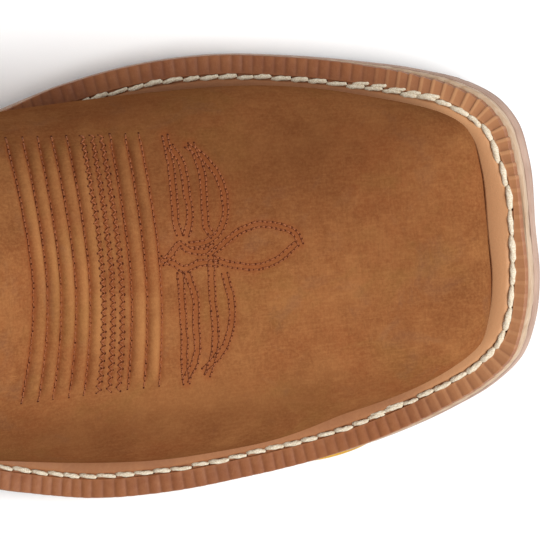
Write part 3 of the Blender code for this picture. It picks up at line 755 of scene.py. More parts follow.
def waxed_leather(name, colours, painted=False, specular=0.2):
    """Pull-up leather: clouded colour, pale where bent with a painted highlight, fine grain, nicks, a soft
    waxy gloss.
    """
    middle, dark, light, warm = colours
    s = Shade(name, specular=specular)
    cloud = s.spread(s.noise(24, 3, 0.6), 0.36, 0.66)
    patch = s.spread(s.noise(85, 4, 0.62, warp=0.4), 0.42, 0.68)
    mist = s.spread(s.noise(300, 4, 0.65), 0.38, 0.66)
    nap = s.noise(1300, 3, 0.7)
    colour = s.mix(s.times(cloud, 0.42), middle, dark)
    colour = s.mix(s.times(patch, 0.30), colour, light)
    colour = s.tinted(colour, warm, 0.35, s.noise(46, 3, 0.5, warp=0.6), 0.45, 0.72)
    colour = s.mix(s.times(mist, 0.16), colour, dark)
    colour = s.tinted(colour, OLIVE_TINT, 0.45, s.noise(58, 4, 0.6, warp=0.5), 0.5, 0.72)
    colour = s.tinted(colour, GREY_TINT, 0.40, s.noise(66, 4, 0.6, warp=1.0), 0.54, 0.72)
    colour = s.tinted(colour, light, 0.24, nap, 0.35, 0.7)
    brushed = s.noise(1000, 3, 0.6, s.stretched((0.2, 1.7, 1.0), (0, 0, 0.08)))
    combed = s.noise(1000, 3, 0.6, s.stretched((1.7, 0.2, 1.0), (0, 0, 0.08)))
    colour = s.tinted(colour, light, 0.17, brushed, 0.46, 0.7)
    colour = s.tinted(colour, dark, 0.15, combed, 0.46, 0.7)
    along = s.noise(260, 4, 0.6, s.stretched((0.18, 3.2, 1.0), (0, 0, 0.35)))
    across = s.noise(240, 4, 0.6, s.stretched((3.4, 0.2, 1.0), (0, 0, 0.5)))
    scratches = s.math("MAXIMUM", s.spread(along, 0.69, 0.78), s.spread(across, 0.71, 0.80))
    colour = s.mix(s.times(scratches, 0.38), colour, light)
    if painted:
        # painted shade, then paler colour with painted highlight, then rust, from the piece's values
        colour = s.mix(s.number("shadow"), colour, dark)
        colour = s.mix(s.number("pale_and_highlight"), colour, light)
        colour = s.mix(s.number("stitch"), colour, warm)
    s.colour(colour)
    s.roughness(s.spread(patch, 0, 1, 0.52, 0.66))
    grain = s.cells(1500)
    pores = s.noise(2600, 2, 0.6)
    s.bumps((s.noise(140, 3, 0.5), 0.00022), (grain, 0.00005), (pores, 0.00005), (scratches, -0.00004))
    return s.material


def welt_leather():
    """Smooth tan welt, streaked along: painted light at the toe, painted shade in its ribbed edge's grooves
    and channel.
    """
    s = Shade("welt_leather", specular=0.2)
    colour = s.mix(s.spread(s.noise(60, 3), 0.35, 0.7), srgb(150, 94, 58), srgb(134, 80, 50))
    colour = s.tinted(colour, srgb(168, 114, 76), 0.35, s.noise(700, 4, 0.7), 0.4, 0.75)
    # paler strip, painted light at the toe, and painted highlight on the rib crests at the corners
    colour = s.mix(s.number("pale"), colour, srgb(194, 144, 102))
    # painted shade in the ribs' hollows, the stitch channel, on the wall at the toe and along the inner side
    colour = s.mix(s.number("welt_shade"), colour, srgb(96, 54, 38))
    colour = s.mix(s.number("seam"), colour, srgb(138, 82, 46))
    s.colour(colour)
    s.roughness(s.spread(s.noise(200, 3), 0.3, 0.7, 0.5, 0.64))
    s.bumps((s.noise(900, 4, 0.6), 0.00007), (s.noise(2600, 2), 0.00004))
    return s.material


def cut_edge(name, pale, dark, layers=0.0, warp=1.0):
    """The sanded edge of leather board or rubber, streaked along its layers."""
    s = Shade(name, specular=0.3)
    streak = s.noise(900, 4, 0.65, s.stretched((0.12, 0.12, 2.2)), warp)
    colour = s.mix(s.spread(streak, 0.34, 0.7), pale, dark)
    colour = s.tinted(colour, dark, 0.4, s.noise(120, 4, 0.6), 0.45, 0.75)
    if layers:
        line = s.spread(s.number("layer"), 0.55, 1.0)
        colour = s.mix(s.times(line, layers), colour, srgb(48, 26, 16))
    s.colour(colour)
    s.roughness(s.spread(streak, 0.3, 0.7, 0.5, 0.7))
    s.bumps((streak, 0.00010), (s.noise(2400, 2), 0.00004))
    return s.material


def rubber(name, pale, dark, edged=False):
    """Matt rubber with a fine moulded tooth and, if edged, painted shade along its bottom edge and a dark
    line by the toe.
    """
    s = Shade(name, roughness=0.66, specular=0.3)
    colour = s.mix(s.spread(s.noise(90, 4, 0.6), 0.3, 0.85), pale, dark)
    colour = s.tinted(colour, dark, 0.3, s.noise(1200, 3, 0.7), 0.5, 0.8)
    if edged:
        # painted shade along the bottom edge, and a dark line on the top edge, from the piece's layer values
        colour = s.mix(s.number("layer"), colour, srgb(84, 52, 38))
    s.colour(colour)
    s.bumps((s.cells(1800), 0.00005), (s.noise(420, 3), 0.00008))
    return s.material


def thread(name, pale, dark, roughness=0.7):
    """Waxed sewing thread: fine fibres and a little dirt."""
    s = Shade(name, roughness=roughness, specular=0.3)
    fibres = s.noise(3200, 3, 0.7)
    colour = s.mix(s.spread(fibres, 0.3, 0.72), pale, dark)
    colour = s.tinted(colour, dark, 0.35, s.noise(260, 3), 0.5, 0.75)
    s.colour(colour)
    s.bumps((fibres, 0.00008), (s.noise(1500, 2), 0.00008))
    return s.material


def flat_dark(name, pale, dark):
    """Painted shade for the inside of a needle hole: dark brown, with a trace of torn fibre."""
    s = Shade(name, roughness=0.9, specular=0.05)
    s.colour(s.mix(s.spread(s.noise(2500, 2), 0.3, 0.7), pale, dark))
    return s.material


def lining_leather():
    """Pale, unfinished pigskin lining with clustered pores."""
    s = Shade("lining_leather", roughness=0.8, specular=0.2)
    colour = s.mix(s.spread(s.noise(40, 4), 0.35, 0.7), srgb(196, 158, 116), srgb(172, 132, 92))
    pores = s.spread(s.cells(620), 0.0, 0.22, 1.0, 0.0)
    colour = s.mix(s.times(pores, 0.45), colour, srgb(140, 102, 68))
    s.colour(colour)
    s.bumps((s.noise(500, 3), 0.00012), (pores, -0.00008))
    return s.material


def sock_leather():
    """The insole's soft tan cover, clouded and flecked darker."""
    s = Shade("sock_leather", roughness=0.78, specular=0.25)
    colour = s.mix(s.spread(s.noise(30, 3), 0.35, 0.7), srgb(178, 138, 98), srgb(150, 112, 76))
    colour = s.tinted(colour, srgb(128, 92, 60), 0.4, s.noise(900, 3, 0.7), 0.45, 0.75)
    s.colour(colour)
    s.bumps((s.noise(160, 3), 0.0003), (s.cells(1300), 0.00006))
    return s.material


UPPER_SKIN = waxed_leather("vamp_leather", VAMP_TAN, painted=True, specular=0.0)
SHAFT_SKIN = waxed_leather("shaft_leather", SHAFT_TAN, painted=True)
COUNTER_SKIN = waxed_leather("counter_leather", COUNTER_TAN, painted=True)
STRAP_SKIN = waxed_leather("strap_leather", STRAP_TAN)
LINING = lining_leather()
SOCK = sock_leather()
WELT_SKIN = welt_leather()
MIDSOLE_EDGE = cut_edge("midsole_edge", srgb(192, 167, 141), srgb(168, 138, 110))
OUTSOLE_RUBBER = rubber("outsole_rubber", srgb(176, 147, 130), srgb(150, 120, 104), edged=True)
HEEL_RUBBER = rubber("heel_rubber", srgb(170, 130, 108), srgb(126, 88, 68))
ACCENT_RUBBER = rubber("accent_rubber", srgb(214, 168, 62), srgb(176, 128, 40))
HEEL_EDGE = cut_edge("heel_edge", srgb(128, 82, 52), srgb(84, 50, 30), layers=0.8)
CREAM_THREAD = thread("cream_thread", srgb(236, 228, 208), srgb(192, 172, 142))
RUST_THREAD = thread("rust_thread", srgb(152, 87, 46), srgb(116, 63, 34), 0.65)
# painted shade standing for the insides of needle holes
NEEDLE_HOLE_SHADE = flat_dark("needle_hole_shade", srgb(58, 28, 18), srgb(40, 20, 12))
SMALL_HOLE_SHADE = flat_dark("small_needle_hole_shade", srgb(86, 42, 24), srgb(56, 26, 15))


# The lines of the medallion stitched on the vamp

# Its double rows, from above: how far the second row lies to the left of the first, and the first row's
# stations and sides, all in millimetres
MEDALLION = [
    (1.5, [(211.5, 33.0), (212.3, 26.5), (212.4, 19.5), (212.4, 14.5), (212.5, 9.5), (213.0, 7.5)]),
    (-1.5, [(214.0, 30.5), (216.5, 26.0), (217.1, 21.5), (217.2, 17.5), (217.6, 14.5), (217.4, 11.0),
            (216.0, 7.0)]),
    (1.5, [(218.0, 30.0), (219.4, 25.5), (220.1, 22.0), (220.1, 18.5), (219.8, 12.0), (220.0, 8.0),
           (221.5, 6.0)]),
    (-1.4, [(218.0, 30.5), (222.0, 27.0), (225.0, 22.5), (226.7, 15.5), (226.1, 10.5), (224.0, 6.5),
            (221.0, 4.5), (216.0, 4.0)]),
    (1.5, [(212.2, -2.2), (211.8, -13.5), (211.6, -18.5), (211.0, -24.5), (211.0, -30.5)]),
    (-1.5, [(215.4, -2.2), (216.9, -9.0), (216.3, -16.0), (216.2, -21.0), (215.0, -25.5), (212.0, -30.0)]),
    (1.5, [(220.4, 1.5), (219.7, -9.0), (219.6, -18.0), (218.5, -24.0), (216.5, -28.5)]),
    (-1.5, [(224.8, -3.2), (226.0, -11.0), (225.2, -17.0), (222.5, -23.0), (219.5, -26.0), (217.0, -28.0)]),
    (1.4, [(221.5, 1.5), (224.0, 3.0), (228.5, 6.0), (233.0, 7.5), (238.0, 6.8), (242.5, 4.5), (243.5, 1.8)]),
    (-1.4, [(243.5, 1.8), (238.5, -1.6), (233.5, -3.2), (228.5, -2.6), (225.0, -1.7), (221.5, 0.0)]),
    (-1.4, [(208.0, 1.4), (210.5, 3.3), (213.5, 6.0), (216.0, 4.2), (219.0, 3.4), (222.0, 4.4)]),
    (1.4, [(208.0, 1.4), (211.0, 0.0), (214.0, -2.0), (218.0, -0.8), (222.5, -1.4)]),
]
MEDALLION_FROM = 0.203
MEDALLION_TO = 0.249
MEDALLION_HALF = 0.037
BAND_HALF = 1.3 * MM
BAND_DEPTH = 0.12 * MM


def smooth_line(knots, count=80):
    """A smooth line through given knots."""
    knots = np.asarray(knots, float)
    run = run_along(knots)
    return curve(run, knots, np.linspace(0, run[-1] * 0.99999, count))


def beside(line, offset):
    """A line seen from above, moved sideways to its left by an offset."""
    along = unit(np.gradient(line, axis=0))
    return line + offset * np.column_stack([-along[:, 1], along[:, 0]])


# The upper, with its wall, cords, creases and seams

VAMP_ROWS = 300
SHAFT_ROWS = 160
ACROSS_COLUMNS = 150
INSIDE_STEP = 3

# The vamp's top edge: the place in the sections that it reaches at each way across from the crest
VAMP_TOP = [
    (0.00, 17.45), (0.10, 17.30), (0.20, 16.55), (0.32, 14.95),
    (0.46, 13.15), (0.62, 11.75), (0.80, 10.80), (1.00, 10.35),
]
VAMP_STEP = 1.0 * MM
VAMP_SKIVE = 16 * MM
VAMP_REACH = 0.11
PATTERN_FROM = 0.15
PATTERN_ACROSS = 0.85
EDGE_CALM = 0.12
# Stretches of the sole, as the station where each starts, the length of its rise, its end and its fall
CORD_STRETCH = (0.158, 0.010, 0.250, 0.030)
TUCK_STRETCH = (0.14, 0.02, 0.246, 0.034)
ROWS_APART_AT_ANKLE = 2.2 * MM
ROWS_APART_AT_TOE = 1.0 * MM
ROWS_APART_ON_CORDS = 0.5 * MM
TOE_TUCK = 1.45 * MM
TOE_TUCK_REACH = 6 * MM
OUTER_TUCK = 1.15 * MM
INNER_TUCK = 0.55 * MM
TUCK_FROM = 34 * MM
TUCK_FULL = 12 * MM

# Rows of stitching across the vamp, from the ankle to the toe: stations at the inner end, middle and outer
# end. A cord is raised between a row and the next where corded is 1. It is paler where rubbed, with a
# painted highlight on its toe side that is brightest at the side given in the row's last column.
StitchRow = namedtuple("StitchRow", "inner middle outer corded shine")
VAMP_LINES = [
    StitchRow(171.9, 176.1, 169.7, 1, 7),
    StitchRow(176.1, 179.5, 174.0, 1, 4),
    StitchRow(179.9, 182.9, 177.6, 1, 0),
    StitchRow(183.4, 186.6, 181.7, 1, -4),
    StitchRow(187.2, 190.1, 185.5, 1, -8),
    StitchRow(191.1, 193.4, 189.2, 0, 0),
    StitchRow(193.6, 195.7, 191.8, 0, 0),
    StitchRow(195.8, 198.1, 194.2, 0, 0),
    StitchRow(198.1, 200.5, 196.6, 1, -16),
    StitchRow(201.9, 204.3, 200.7, 1, -19),
    StitchRow(205.4, 207.9, 204.6, 0, 0),
]
HIGHLIGHT_REACH = 11 * MM
LINES_INNER_END = 36.3 * MM
LINES_OUTER_END = -31.0 * MM
LINES_MIDDLE = 1.5 * MM
LINES_BOW = 1.8
LINES_SLOPE = -0.045
SEAM_FADE = 3 * MM
CORD_FADE_OUTER = 5 * MM
CORD_FADE_INNER = 6 * MM
CORD_HEIGHT = 0.80 * MM
SEAM_DEPTH = 0.35 * MM
SEAM_HALF = 0.55 * MM


def line_ends(index):
    """Where one row of vamp stitching starts and stops, across the boot."""
    drift = LINES_SLOPE * (VAMP_LINES[index].middle - VAMP_LINES[0].middle) * MM
    return LINES_OUTER_END - 0.6 * drift, LINES_INNER_END + 1.4 * drift


def line_station(index, side):
    """The station of a row of vamp stitching at a place across the boot: a bow, furthest in the middle."""
    row = VAMP_LINES[index]
    away = np.asarray(side) - LINES_MIDDLE
    inner = abs(away / (LINES_INNER_END - LINES_MIDDLE)) ** LINES_BOW * (row.inner - row.middle)
    outer = abs(away / (LINES_OUTER_END - LINES_MIDDLE)) ** LINES_BOW * (row.outer - row.middle)
    return (row.middle + np.where(away > 0, inner, outer)) * MM


def cord_fields(station, side):
    """How high cords stand, how near a row of stitching is, and cords' rubbed pale and painted highlight,
    from above.
    """
    raised = np.zeros_like(station)
    seam = np.zeros_like(station)
    rubbed_and_lit = np.zeros_like(station)
    for index, row in enumerate(VAMP_LINES):
        low, high = line_ends(index)
        fade = window(side, low, SEAM_FADE, high, SEAM_FADE)
        here = line_station(index, side)
        seam = np.maximum(seam, fade * nearness(station - here, SEAM_HALF))
        if row.corded:
            share = (station - here) / (line_station(index + 1, side) - here)
            inside = (share > 0) & (share < 1)
            end_low, end_high = line_ends(index + 1)
            fade = window(side, max(low, end_low), CORD_FADE_OUTER, min(high, end_high), CORD_FADE_INNER)
            crown = np.sin(math.pi * np.clip(share, 0, 1)) ** 0.9
            raised = np.maximum(raised, np.where(inside, fade * crown, 0))
            # paler where rubbed, with a painted highlight on each cord's toe side, brightest near a given
            # side
            brightest = 0.3 + 0.7 * nearness(side - row.shine * MM, HIGHLIGHT_REACH)
            front = np.sin(math.pi * np.clip(share, 0, 1) ** 1.5) ** 1.3
            rubbed_and_lit = np.maximum(rubbed_and_lit, np.where(inside, fade * brightest * front, 0))
    return raised, seam, rubbed_and_lit


# Soft troughs (below 0) and ridges (above 0) of a worn-in ankle and of the toe box: place and way across of
# the middle, reach in places and across, lean in places along the fold, and height in millimetres
Fold = namedtuple("Fold", "place across places half lean height")
FOLDS = [
    Fold(17.9, -0.05, 0.30, 0.34, 0.10, -1.3),
    Fold(18.4, 0.02, 0.32, 0.40, -0.06, 1.1),
    Fold(18.9, -0.03, 0.30, 0.36, 0.12, -1.2),
    Fold(19.4, 0.04, 0.34, 0.44, 0.04, 0.9),
    Fold(20.0, -0.02, 0.34, 0.34, -0.10, -0.9),
    Fold(18.8, -0.62, 0.30, 0.30, 0.9, -1.2),
    Fold(19.3, -0.60, 0.30, 0.28, 0.8, 0.9),
    Fold(18.6, 0.62, 0.30, 0.30, -0.9, -1.2),
    Fold(19.1, 0.60, 0.30, 0.28, -0.8, 0.9),
    Fold(21.4, 0.30, 0.50, 0.40, 0.5, 0.8),
    Fold(21.9, -0.38, 0.60, 0.36, -0.6, -0.8),
    Fold(8.3, -0.45, 0.30, 0.30, 0.5, -0.5),
    Fold(8.5, 0.50, 0.28, 0.26, -0.5, -0.5),
    Fold(9.2, 0.00, 0.50, 0.40, 0.0, -0.5),
]


def folded(place, across):
    """The height of all the folds at places and ways across."""
    total = np.zeros_like(place)
    for fold in FOLDS:
        over = (across - fold.across) / fold.half
        along = (place - fold.place - fold.lean * (across - fold.across)) / fold.places
        total += fold.height * MM * hump(over) * np.exp(-(along**2))
    return total


def vamp_top(across):
    knots = np.array(VAMP_TOP)
    return curve(knots[:, 0], knots[:, 1], np.clip(abs(across), 0, 1))


def row_spacing(station):
    """How far apart the rows of the vamp's mesh lie: closest over the cords, wider towards the ankle."""
    near_cords = window(station, *CORD_STRETCH)
    ahead = smooth_step((station - 0.210) / 0.03)
    plain = ROWS_APART_AT_ANKLE + (ROWS_APART_AT_TOE - ROWS_APART_AT_ANKLE) * ahead
    return plain + (ROWS_APART_ON_CORDS - plain) * near_cords


def upper_places(columns):
    """The place of each row of the upper's mesh in each column, even along the surface."""
    dense = np.linspace(0, COLLAR, 40 * COLLAR + 1)
    half = columns[columns >= 0]
    grids = [upper_at(dense[:, None], side * half[None, :]) for side in (-1, 1)]
    steps = sum(np.linalg.norm(np.diff(grid, axis=0), axis=2) for grid in grids) / 2
    middle = station_of((grids[0][1:, :, 0] + grids[0][:-1, :, 0]) / 2)
    found = []
    for k, across in enumerate(half):
        top = vamp_top(across)
        count = running(steps[:, k] / row_spacing(middle[:, k]))
        at_top = np.interp(top, dense, count)
        vamp = np.interp(np.linspace(0, at_top, VAMP_ROWS), count, dense)
        run = running(steps[:, k])
        from_top = np.linspace(np.interp(top, dense, run), run[-1], SHAFT_ROWS)
        shaft = np.interp(from_top, run, dense)
        found.append(np.concatenate([vamp, shaft]))
    found = np.array(found).T
    edge = found[:, -1]
    join = VAMP_ROWS + INSIDE_STEP * int(np.argmin(abs(edge[VAMP_ROWS::INSIDE_STEP] - FOOT_KEYS)))
    rows = np.arange(len(edge))
    knots = [VAMP_ROWS, join, len(edge) - 1]
    shift = np.interp(rows, knots, [0, FOOT_KEYS - edge[join], 0])
    found = found + shift[:, None] * (half**8)[None, :]
    return np.hstack([found[:, :0:-1], found]), join


def inner_share(side):
    """From 0 on the outer side to 1 on the inner side, seen from above."""
    return smooth_step(0.5 + side / (0.27 * BALL_WIDTH))


def side_tuck(station, side):
    """How far the foot's flanks are drawn in above the welt, at places seen from above."""
    share = inner_share(side)
    return (OUTER_TUCK + (INNER_TUCK - OUTER_TUCK) * share) * window(station, *TUCK_STRETCH)


def medallion_band(station, side):
    """How near the double rows of the stitched pattern are, over the vamp seen from above."""
    nearest = np.full(station.shape, 1.0)
    here = (station > MEDALLION_FROM) & (station < MEDALLION_TO) & (abs(side) < MEDALLION_HALF)
    spots = np.column_stack([station[here], side[here]])
    away = nearest[here]
    for offset, knots in MEDALLION:
        line = beside(smooth_line(np.array(knots) * MM), offset / 2 * MM)
        away = np.minimum(away, np.linalg.norm(spots[:, None] - line[None], axis=2).min(axis=1))
    nearest[here] = away
    return nearness(nearest, BAND_HALF)


def upper_shell():
    """The upper: outer skin with cords, folds and the vamp's stepped edge, and the lining inside."""
    columns = np.linspace(-1, 1, ACROSS_COLUMNS + 1)
    places, join = upper_places(columns)
    across = np.broadcast_to(columns[None, :], places.shape)
    base = upper_at(places, across)
    normals = upper_normals(places, across)
    normals[join:, 0] = normals[join:, -1] = unit(normals[join:, 0] + normals[join:, -1])
    station, side, height = station_of(base[..., 0]), base[..., 1], base[..., 2]
    on_vamp = (np.arange(len(places)) < VAMP_ROWS)[:, None]
    on_top = on_vamp & (abs(across) < PATTERN_ACROSS) & (station > PATTERN_FROM)
    raised, seam, rubbed_and_lit = (field * on_top for field in cord_fields(station, side))
    band = medallion_band(station, side) * on_top * (height < VAMP_REACH)
    edge = np.linalg.norm(base - base[VAMP_ROWS - 1: VAMP_ROWS], axis=2)
    step = np.where(on_vamp, VAMP_STEP * smooth_step(1 - edge / VAMP_SKIVE), 0)
    calm = smooth_step((1 - abs(across)) / EDGE_CALM)
    tuck = TOE_TUCK * nearness(np.maximum(TOE_TIP - station, 0), TOE_TUCK_REACH)
    tuck = tuck + side_tuck(station, side)
    over_sole = height - bottom_height(station) - STACK
    tuck = -tuck * smooth_step((TUCK_FROM - over_sole) / (TUCK_FROM - TUCK_FULL))
    lift = folded(places, across) * calm + CORD_HEIGHT * raised - SEAM_DEPTH * seam * (1 - raised) + step
    lift = lift + tuck - BAND_DEPTH * band
    outer = base + normals * lift[..., None]
    keep = slice(None, None, INSIDE_STEP)
    sunk = (folded(places, across) * calm + tuck - UPPER_WALL)[..., None]
    inner = (base + normals * sunk)[keep, keep]
    points, faces = shell(outer, inner, INSIDE_STEP, (join, join))
    outer_count = (places.shape[0] - 1) * (places.shape[1] - 1)
    row_of_face = np.repeat(np.arange(places.shape[0] - 1), places.shape[1] - 1)
    paint = np.full(len(faces), 2)
    paint[:outer_count] = np.where(row_of_face < VAMP_ROWS - 1, 0, 1)
    paint[outer_count + inner[:-1, :-1, 0].size:] = 1
    feather = np.linalg.norm(base - base[:, [0] * places.shape[1]], axis=2)
    feather = np.minimum(feather, np.linalg.norm(base - base[:, [-1] * places.shape[1]], axis=2))
    toe_front = np.linalg.norm(base - base[:1], axis=2)
    feather = np.where(places < FOOT_KEYS, np.minimum(feather, np.where(places < 6, toe_front, 1)), 1)
    values = vamp_colours(station, side, height, rubbed_and_lit, seam, band, feather, on_vamp, edge)
    values = {key: padded(numbers, points) for key, numbers in values.items()}
    piece = add_piece(
        "upper_shell", points, faces, [UPPER_SKIN, SHAFT_SKIN, LINING], "upper_leather", ["upper"],
        values=values, face_paint=paint,
    )
    return piece, outer, normals


# Soft patches of colour on the vamp: station and side of the middle, reach along and across, all in
# millimetres, and strength. Below 0 is darker and above 0 paler.
Patch = namedtuple("Patch", "station side along across strength")
# The darker patches out towards the flanks are painted shade where the vamp slopes away.
PATCHES = [
    Patch(232, 24, 36, 12, -0.42),
    Patch(196, 40, 40, 9, -0.45),
    Patch(262, 30, 30, 8, -0.30),
    Patch(182, -42, 34, 9, -0.50),
    Patch(232, -38, 34, 7, -0.40),
    Patch(245, 12, 20, 12, -0.16),
    Patch(272, 6, 14, 22, -0.12),
    Patch(216, -34, 26, 5, 0.22),
    Patch(176, 22, 16, 8, 0.10),
    Patch(248, -12, 16, 6, 0.16),
]


EDGE_SHADOW = 0.78
SHADOW_REACH_MM = 17
SHADOW_LESS_AT_TOE_MM = 12
SHADOW_NARROWS_AT = 0.266
SHADOW_NARROWS_OVER = 0.020
CORD_PALE_AND_HIGHLIGHT = 0.5
RIM_SHADOW = 0.7
RIM_REACH = 1.2 * MM
SEAM_RUST = 0.8
BAND_RUST = 0.5


def vamp_colours(station, side, height, rubbed_and_lit, seam, band, feather, on_vamp, edge):
    """Shares of dark colour and painted shade, of pale colour and painted highlight, and of rust over the
    upper's leather.
    """
    at_toe = smooth_step((station - SHADOW_NARROWS_AT) / SHADOW_NARROWS_OVER)
    reach = (SHADOW_REACH_MM - SHADOW_LESS_AT_TOE_MM * at_toe) * MM
    dark = EDGE_SHADOW * np.exp(-((feather / reach) ** 1.5))
    # paler colour and painted highlight on the cords
    pale = CORD_PALE_AND_HIGHLIGHT * rubbed_and_lit * on_vamp
    for patch in PATCHES:
        ahead = (station / MM - patch.station) / patch.along
        over = (side / MM - patch.side) / patch.across
        amount = abs(patch.strength) * np.exp(-(ahead**2 + over**2)) * on_vamp * (height < VAMP_REACH)
        if patch.strength < 0:
            dark = 1 - (1 - dark) * (1 - amount)
        else:
            pale = 1 - (1 - pale) * (1 - amount)
    rim = nearness(edge, RIM_REACH) * ~on_vamp
    dark = 1 - (1 - dark) * (1 - RIM_SHADOW * rim)
    rust = np.maximum(SEAM_RUST * seam * (1 - rubbed_and_lit), BAND_RUST * band)
    return {"shadow": dark, "pale_and_highlight": pale, "stitch": rust}


UPPER, UPPER_GRID, UPPER_NORMALS = upper_shell()


# Placing things round the sole and on the upper

def round_sole(run, inset, height):
    """Points at runs round the outline, at an inset from it and a height over the bottom line."""
    inwards = around_sole(run, NORMALS) * np.asarray(inset)[..., None]
    station, side = np.moveaxis(around_sole(run, SOLE) - inwards, -1, 0)
    x, z = lifted(station, height)
    return np.stack(np.broadcast_arrays(x, side, z), axis=-1)


def tree_of(piece):
    mesh = piece.data
    return BVHTree.FromPolygons([v.co[:] for v in mesh.vertices], [p.vertices[:] for p in mesh.polygons])


def below(tree, station, side):
    """The points of a surface straight under places seen from above."""
    top = BOOT_HEIGHT + 2 * COLLAR_DIP
    starts = np.column_stack([np.asarray(station) - ORIGIN_AT * LENGTH, side, np.full(len(side), top)])
    found = [tree.ray_cast(Vector(start), Vector((0, 0, -1))) for start in starts]
    return np.array([hit[0][:] for hit in found]), np.array([hit[1][:] for hit in found])


def spaced(points, pitch, dice, jitter, *along):
    """Values given at a polyline's points, at a nearly even pitch along it, both ends included."""
    run = run_along(points)
    count = max(int(round(run[-1] / pitch)), 1)
    at = np.linspace(0, run[-1], count + 1)
    at[1:-1] += dice.normal(0, jitter * pitch, count - 1)
    return [read_at(at, run, values) for values in along]


THREAD_UNEVEN = 0.10
HOLE_UNEVEN = 0.14
THREAD_SHARE = np.linspace(0, 1, 6)
THREAD_ARCH = np.sin(math.pi * THREAD_SHARE) ** 0.6


def sew(holes, hole_ups, width, rise, dice, hole_size=0.62, gap=0.12):
    """Arched threads between needle holes that follow one another. Gives threads and holes as meshes."""
    start, end = holes[:-1, None], holes[1:, None]
    share = (gap + (1 - 2 * gap) * THREAD_SHARE)[None, :, None]
    over = unit(hole_ups[:-1] + hole_ups[1:])[:, None]
    count = len(holes) - 1
    plump = 1 + dice.normal(0, THREAD_UNEVEN, (count, 1))
    lean = dice.normal(0, THREAD_UNEVEN * width, (count, 1, 1)) * (share - 0.5)
    across = unit(np.cross(end - start, over))
    arch = (rise * (1.6 * THREAD_ARCH - 0.6))[None, :, None]
    paths = start + (end - start) * share + over * arch + across * lean
    radii = width / 2 * plump * (0.5 + 0.5 * THREAD_ARCH)[None, :]
    ups = np.broadcast_to(over, paths.shape)
    threads = tubes(paths, ups, radii, sides=6, lobes=2, lobe_depth=0.14, twist=0.8)
    along = unit(np.gradient(holes, axis=0))
    sizes = width * hole_size * (1 + dice.normal(0, HOLE_UNEVEN, len(holes)))
    return threads, discs(holes, hole_ups, along, sizes, long=1.1, lift=0.05 * MM)


def joined(parts):
    """Several (points, faces) as one."""
    points, faces, start = [], [], 0
    for more, quads in parts:
        points.append(more)
        faces += [[p + start for p in face] for face in quads]
        start += len(more)
    return np.vstack(points), faces


def add_sewing(name, seams, thread_skin, slot, hole_skin=NEEDLE_HOLE_SHADE):
    """Stitches and their needle holes as two pieces."""
    add_piece(name, *joined([threads for threads, _ in seams]), thread_skin, slot)
    add_piece(name + "_holes", *joined([holes for _, holes in seams]), hole_skin, slot)


# The welt

PITCH_SAMPLES = 4000
RIB_PITCH = 3.05 * MM
TOE_RIB_PITCH = 3.45 * MM
RIB_STEPS = 10
RIB_COLUMNS = 11
WALL_COLUMNS = 4
RIB_DEPTH = 0.22 * MM
RIB_SCALLOP = 0.24 * MM
WELT_LOW = OUTSOLE_THICKNESS + MIDSOLE_THICKNESS + 2 * GAP
CORNER_FROM = 0.262
WANDER_STRETCH = (0.280, 0.298)
TOE_LIGHT_STRETCH = (CORNER_FROM, 0.300)
SHADE_STRETCH = (0.255, 0.29)
LONG_STITCH_STRETCH = (0.285, 0.300)
TOE_STITCH_FROM = 0.270
TOE_STITCH_TO = 0.299
SIDE_STITCH_INSET = 5.75 * MM
CORNER_STITCH_INSET = 5.15 * MM
TOE_STITCH_INSET = 3.3 * MM
TOE_FRONT_FROM = 0.2985
TOE_FRONT_TO = 0.3040
WELT_STEP_BACK = 1.35 * MM
STITCH_STEP_BACK = 1.2 * MM
MIDSOLE_STEP_BACK = 0.45 * MM
FRONT_STEP_BACK = 0.5
STITCH_ROOM = 0.85 * MM
CHANNEL_DEPTH = 0.45 * MM
STRIP_SWELL = 0.35 * MM
SEAM_WIDTH = 0.75 * MM
STRIP_UNDER = 0.15
WELT_SEW_MARGIN = 6.4 * MM
INNER_CORNER = (0.298, 0.034)
OUTER_CORNER = (0.283, -0.042)
OUTER_STEP_BACK = 0.38
STEP_BACK_REACH = 26 * MM

# How the stitches wander in and out at the front: side, reach along the front and extra inset, all in
# millimetres
Wander = namedtuple("Wander", "side reach extra")
STITCH_WANDER = [
    Wander(26.5, 8, 1.10),
    Wander(5.0, 8, -0.80),
    Wander(-17.0, 12, 0.55),
]

# The top of a rib, from the edge inwards: the share of the way to the channel, and how much of the rib's
# height and of the painted shade in its hollow shows there
RibTop = namedtuple("RibTop", "share shown")
RIB_TOPS = [
    RibTop(0.02, 0.75),
    RibTop(0.05, 1.0),
    RibTop(0.09, 1.0),
    RibTop(0.35, 1.0),
    RibTop(0.60, 1.0),
    RibTop(0.82, 1.0),
    RibTop(0.94, 0.8),
    RibTop(1.00, 0.0),
]
STRIP_SHARES = (0.0, 0.18, 0.45, 0.75, 0.92, 1.0)

# Across the floor of the channel: the share of the way from its edge to the stitches, and how dark its
# painted shade is
ChannelPoint = namedtuple("ChannelPoint", "share dark")
CHANNEL = [
    ChannelPoint(0.35, 0.30),
    ChannelPoint(1.00, 0.40),
    ChannelPoint(1.60, 0.30),
]
RIB_UNEVEN = 0.18
# painted shade in the ribs' hollows
RIB_HOLLOW_SHADE = 0.36
# painted highlight on the rib crests at the toe's corners
RIB_CREST_HIGHLIGHT = 0.36
# painted shade on the outer wall at the toe, and along the inner side
WALL_SHADE = 0.20
INNER_SHADE = 0.16
# painted light at the toe on the wall and ribs, the strip's own paler colour, and painted light on the strip
# at the toe
WALL_LIT_AT_TOE = 0.15
RIBS_LIT_AT_TOE = 0.42
PALE_STRIP = 0.24
STRIP_LIT_AT_TOE = 0.70


def toe_share(station, start=TOE_STITCH_FROM, end=TOE_STITCH_TO):
    """From 0 to 1 between two stations near the toe."""
    return smooth_step((np.asarray(station) - start) / (end - start))


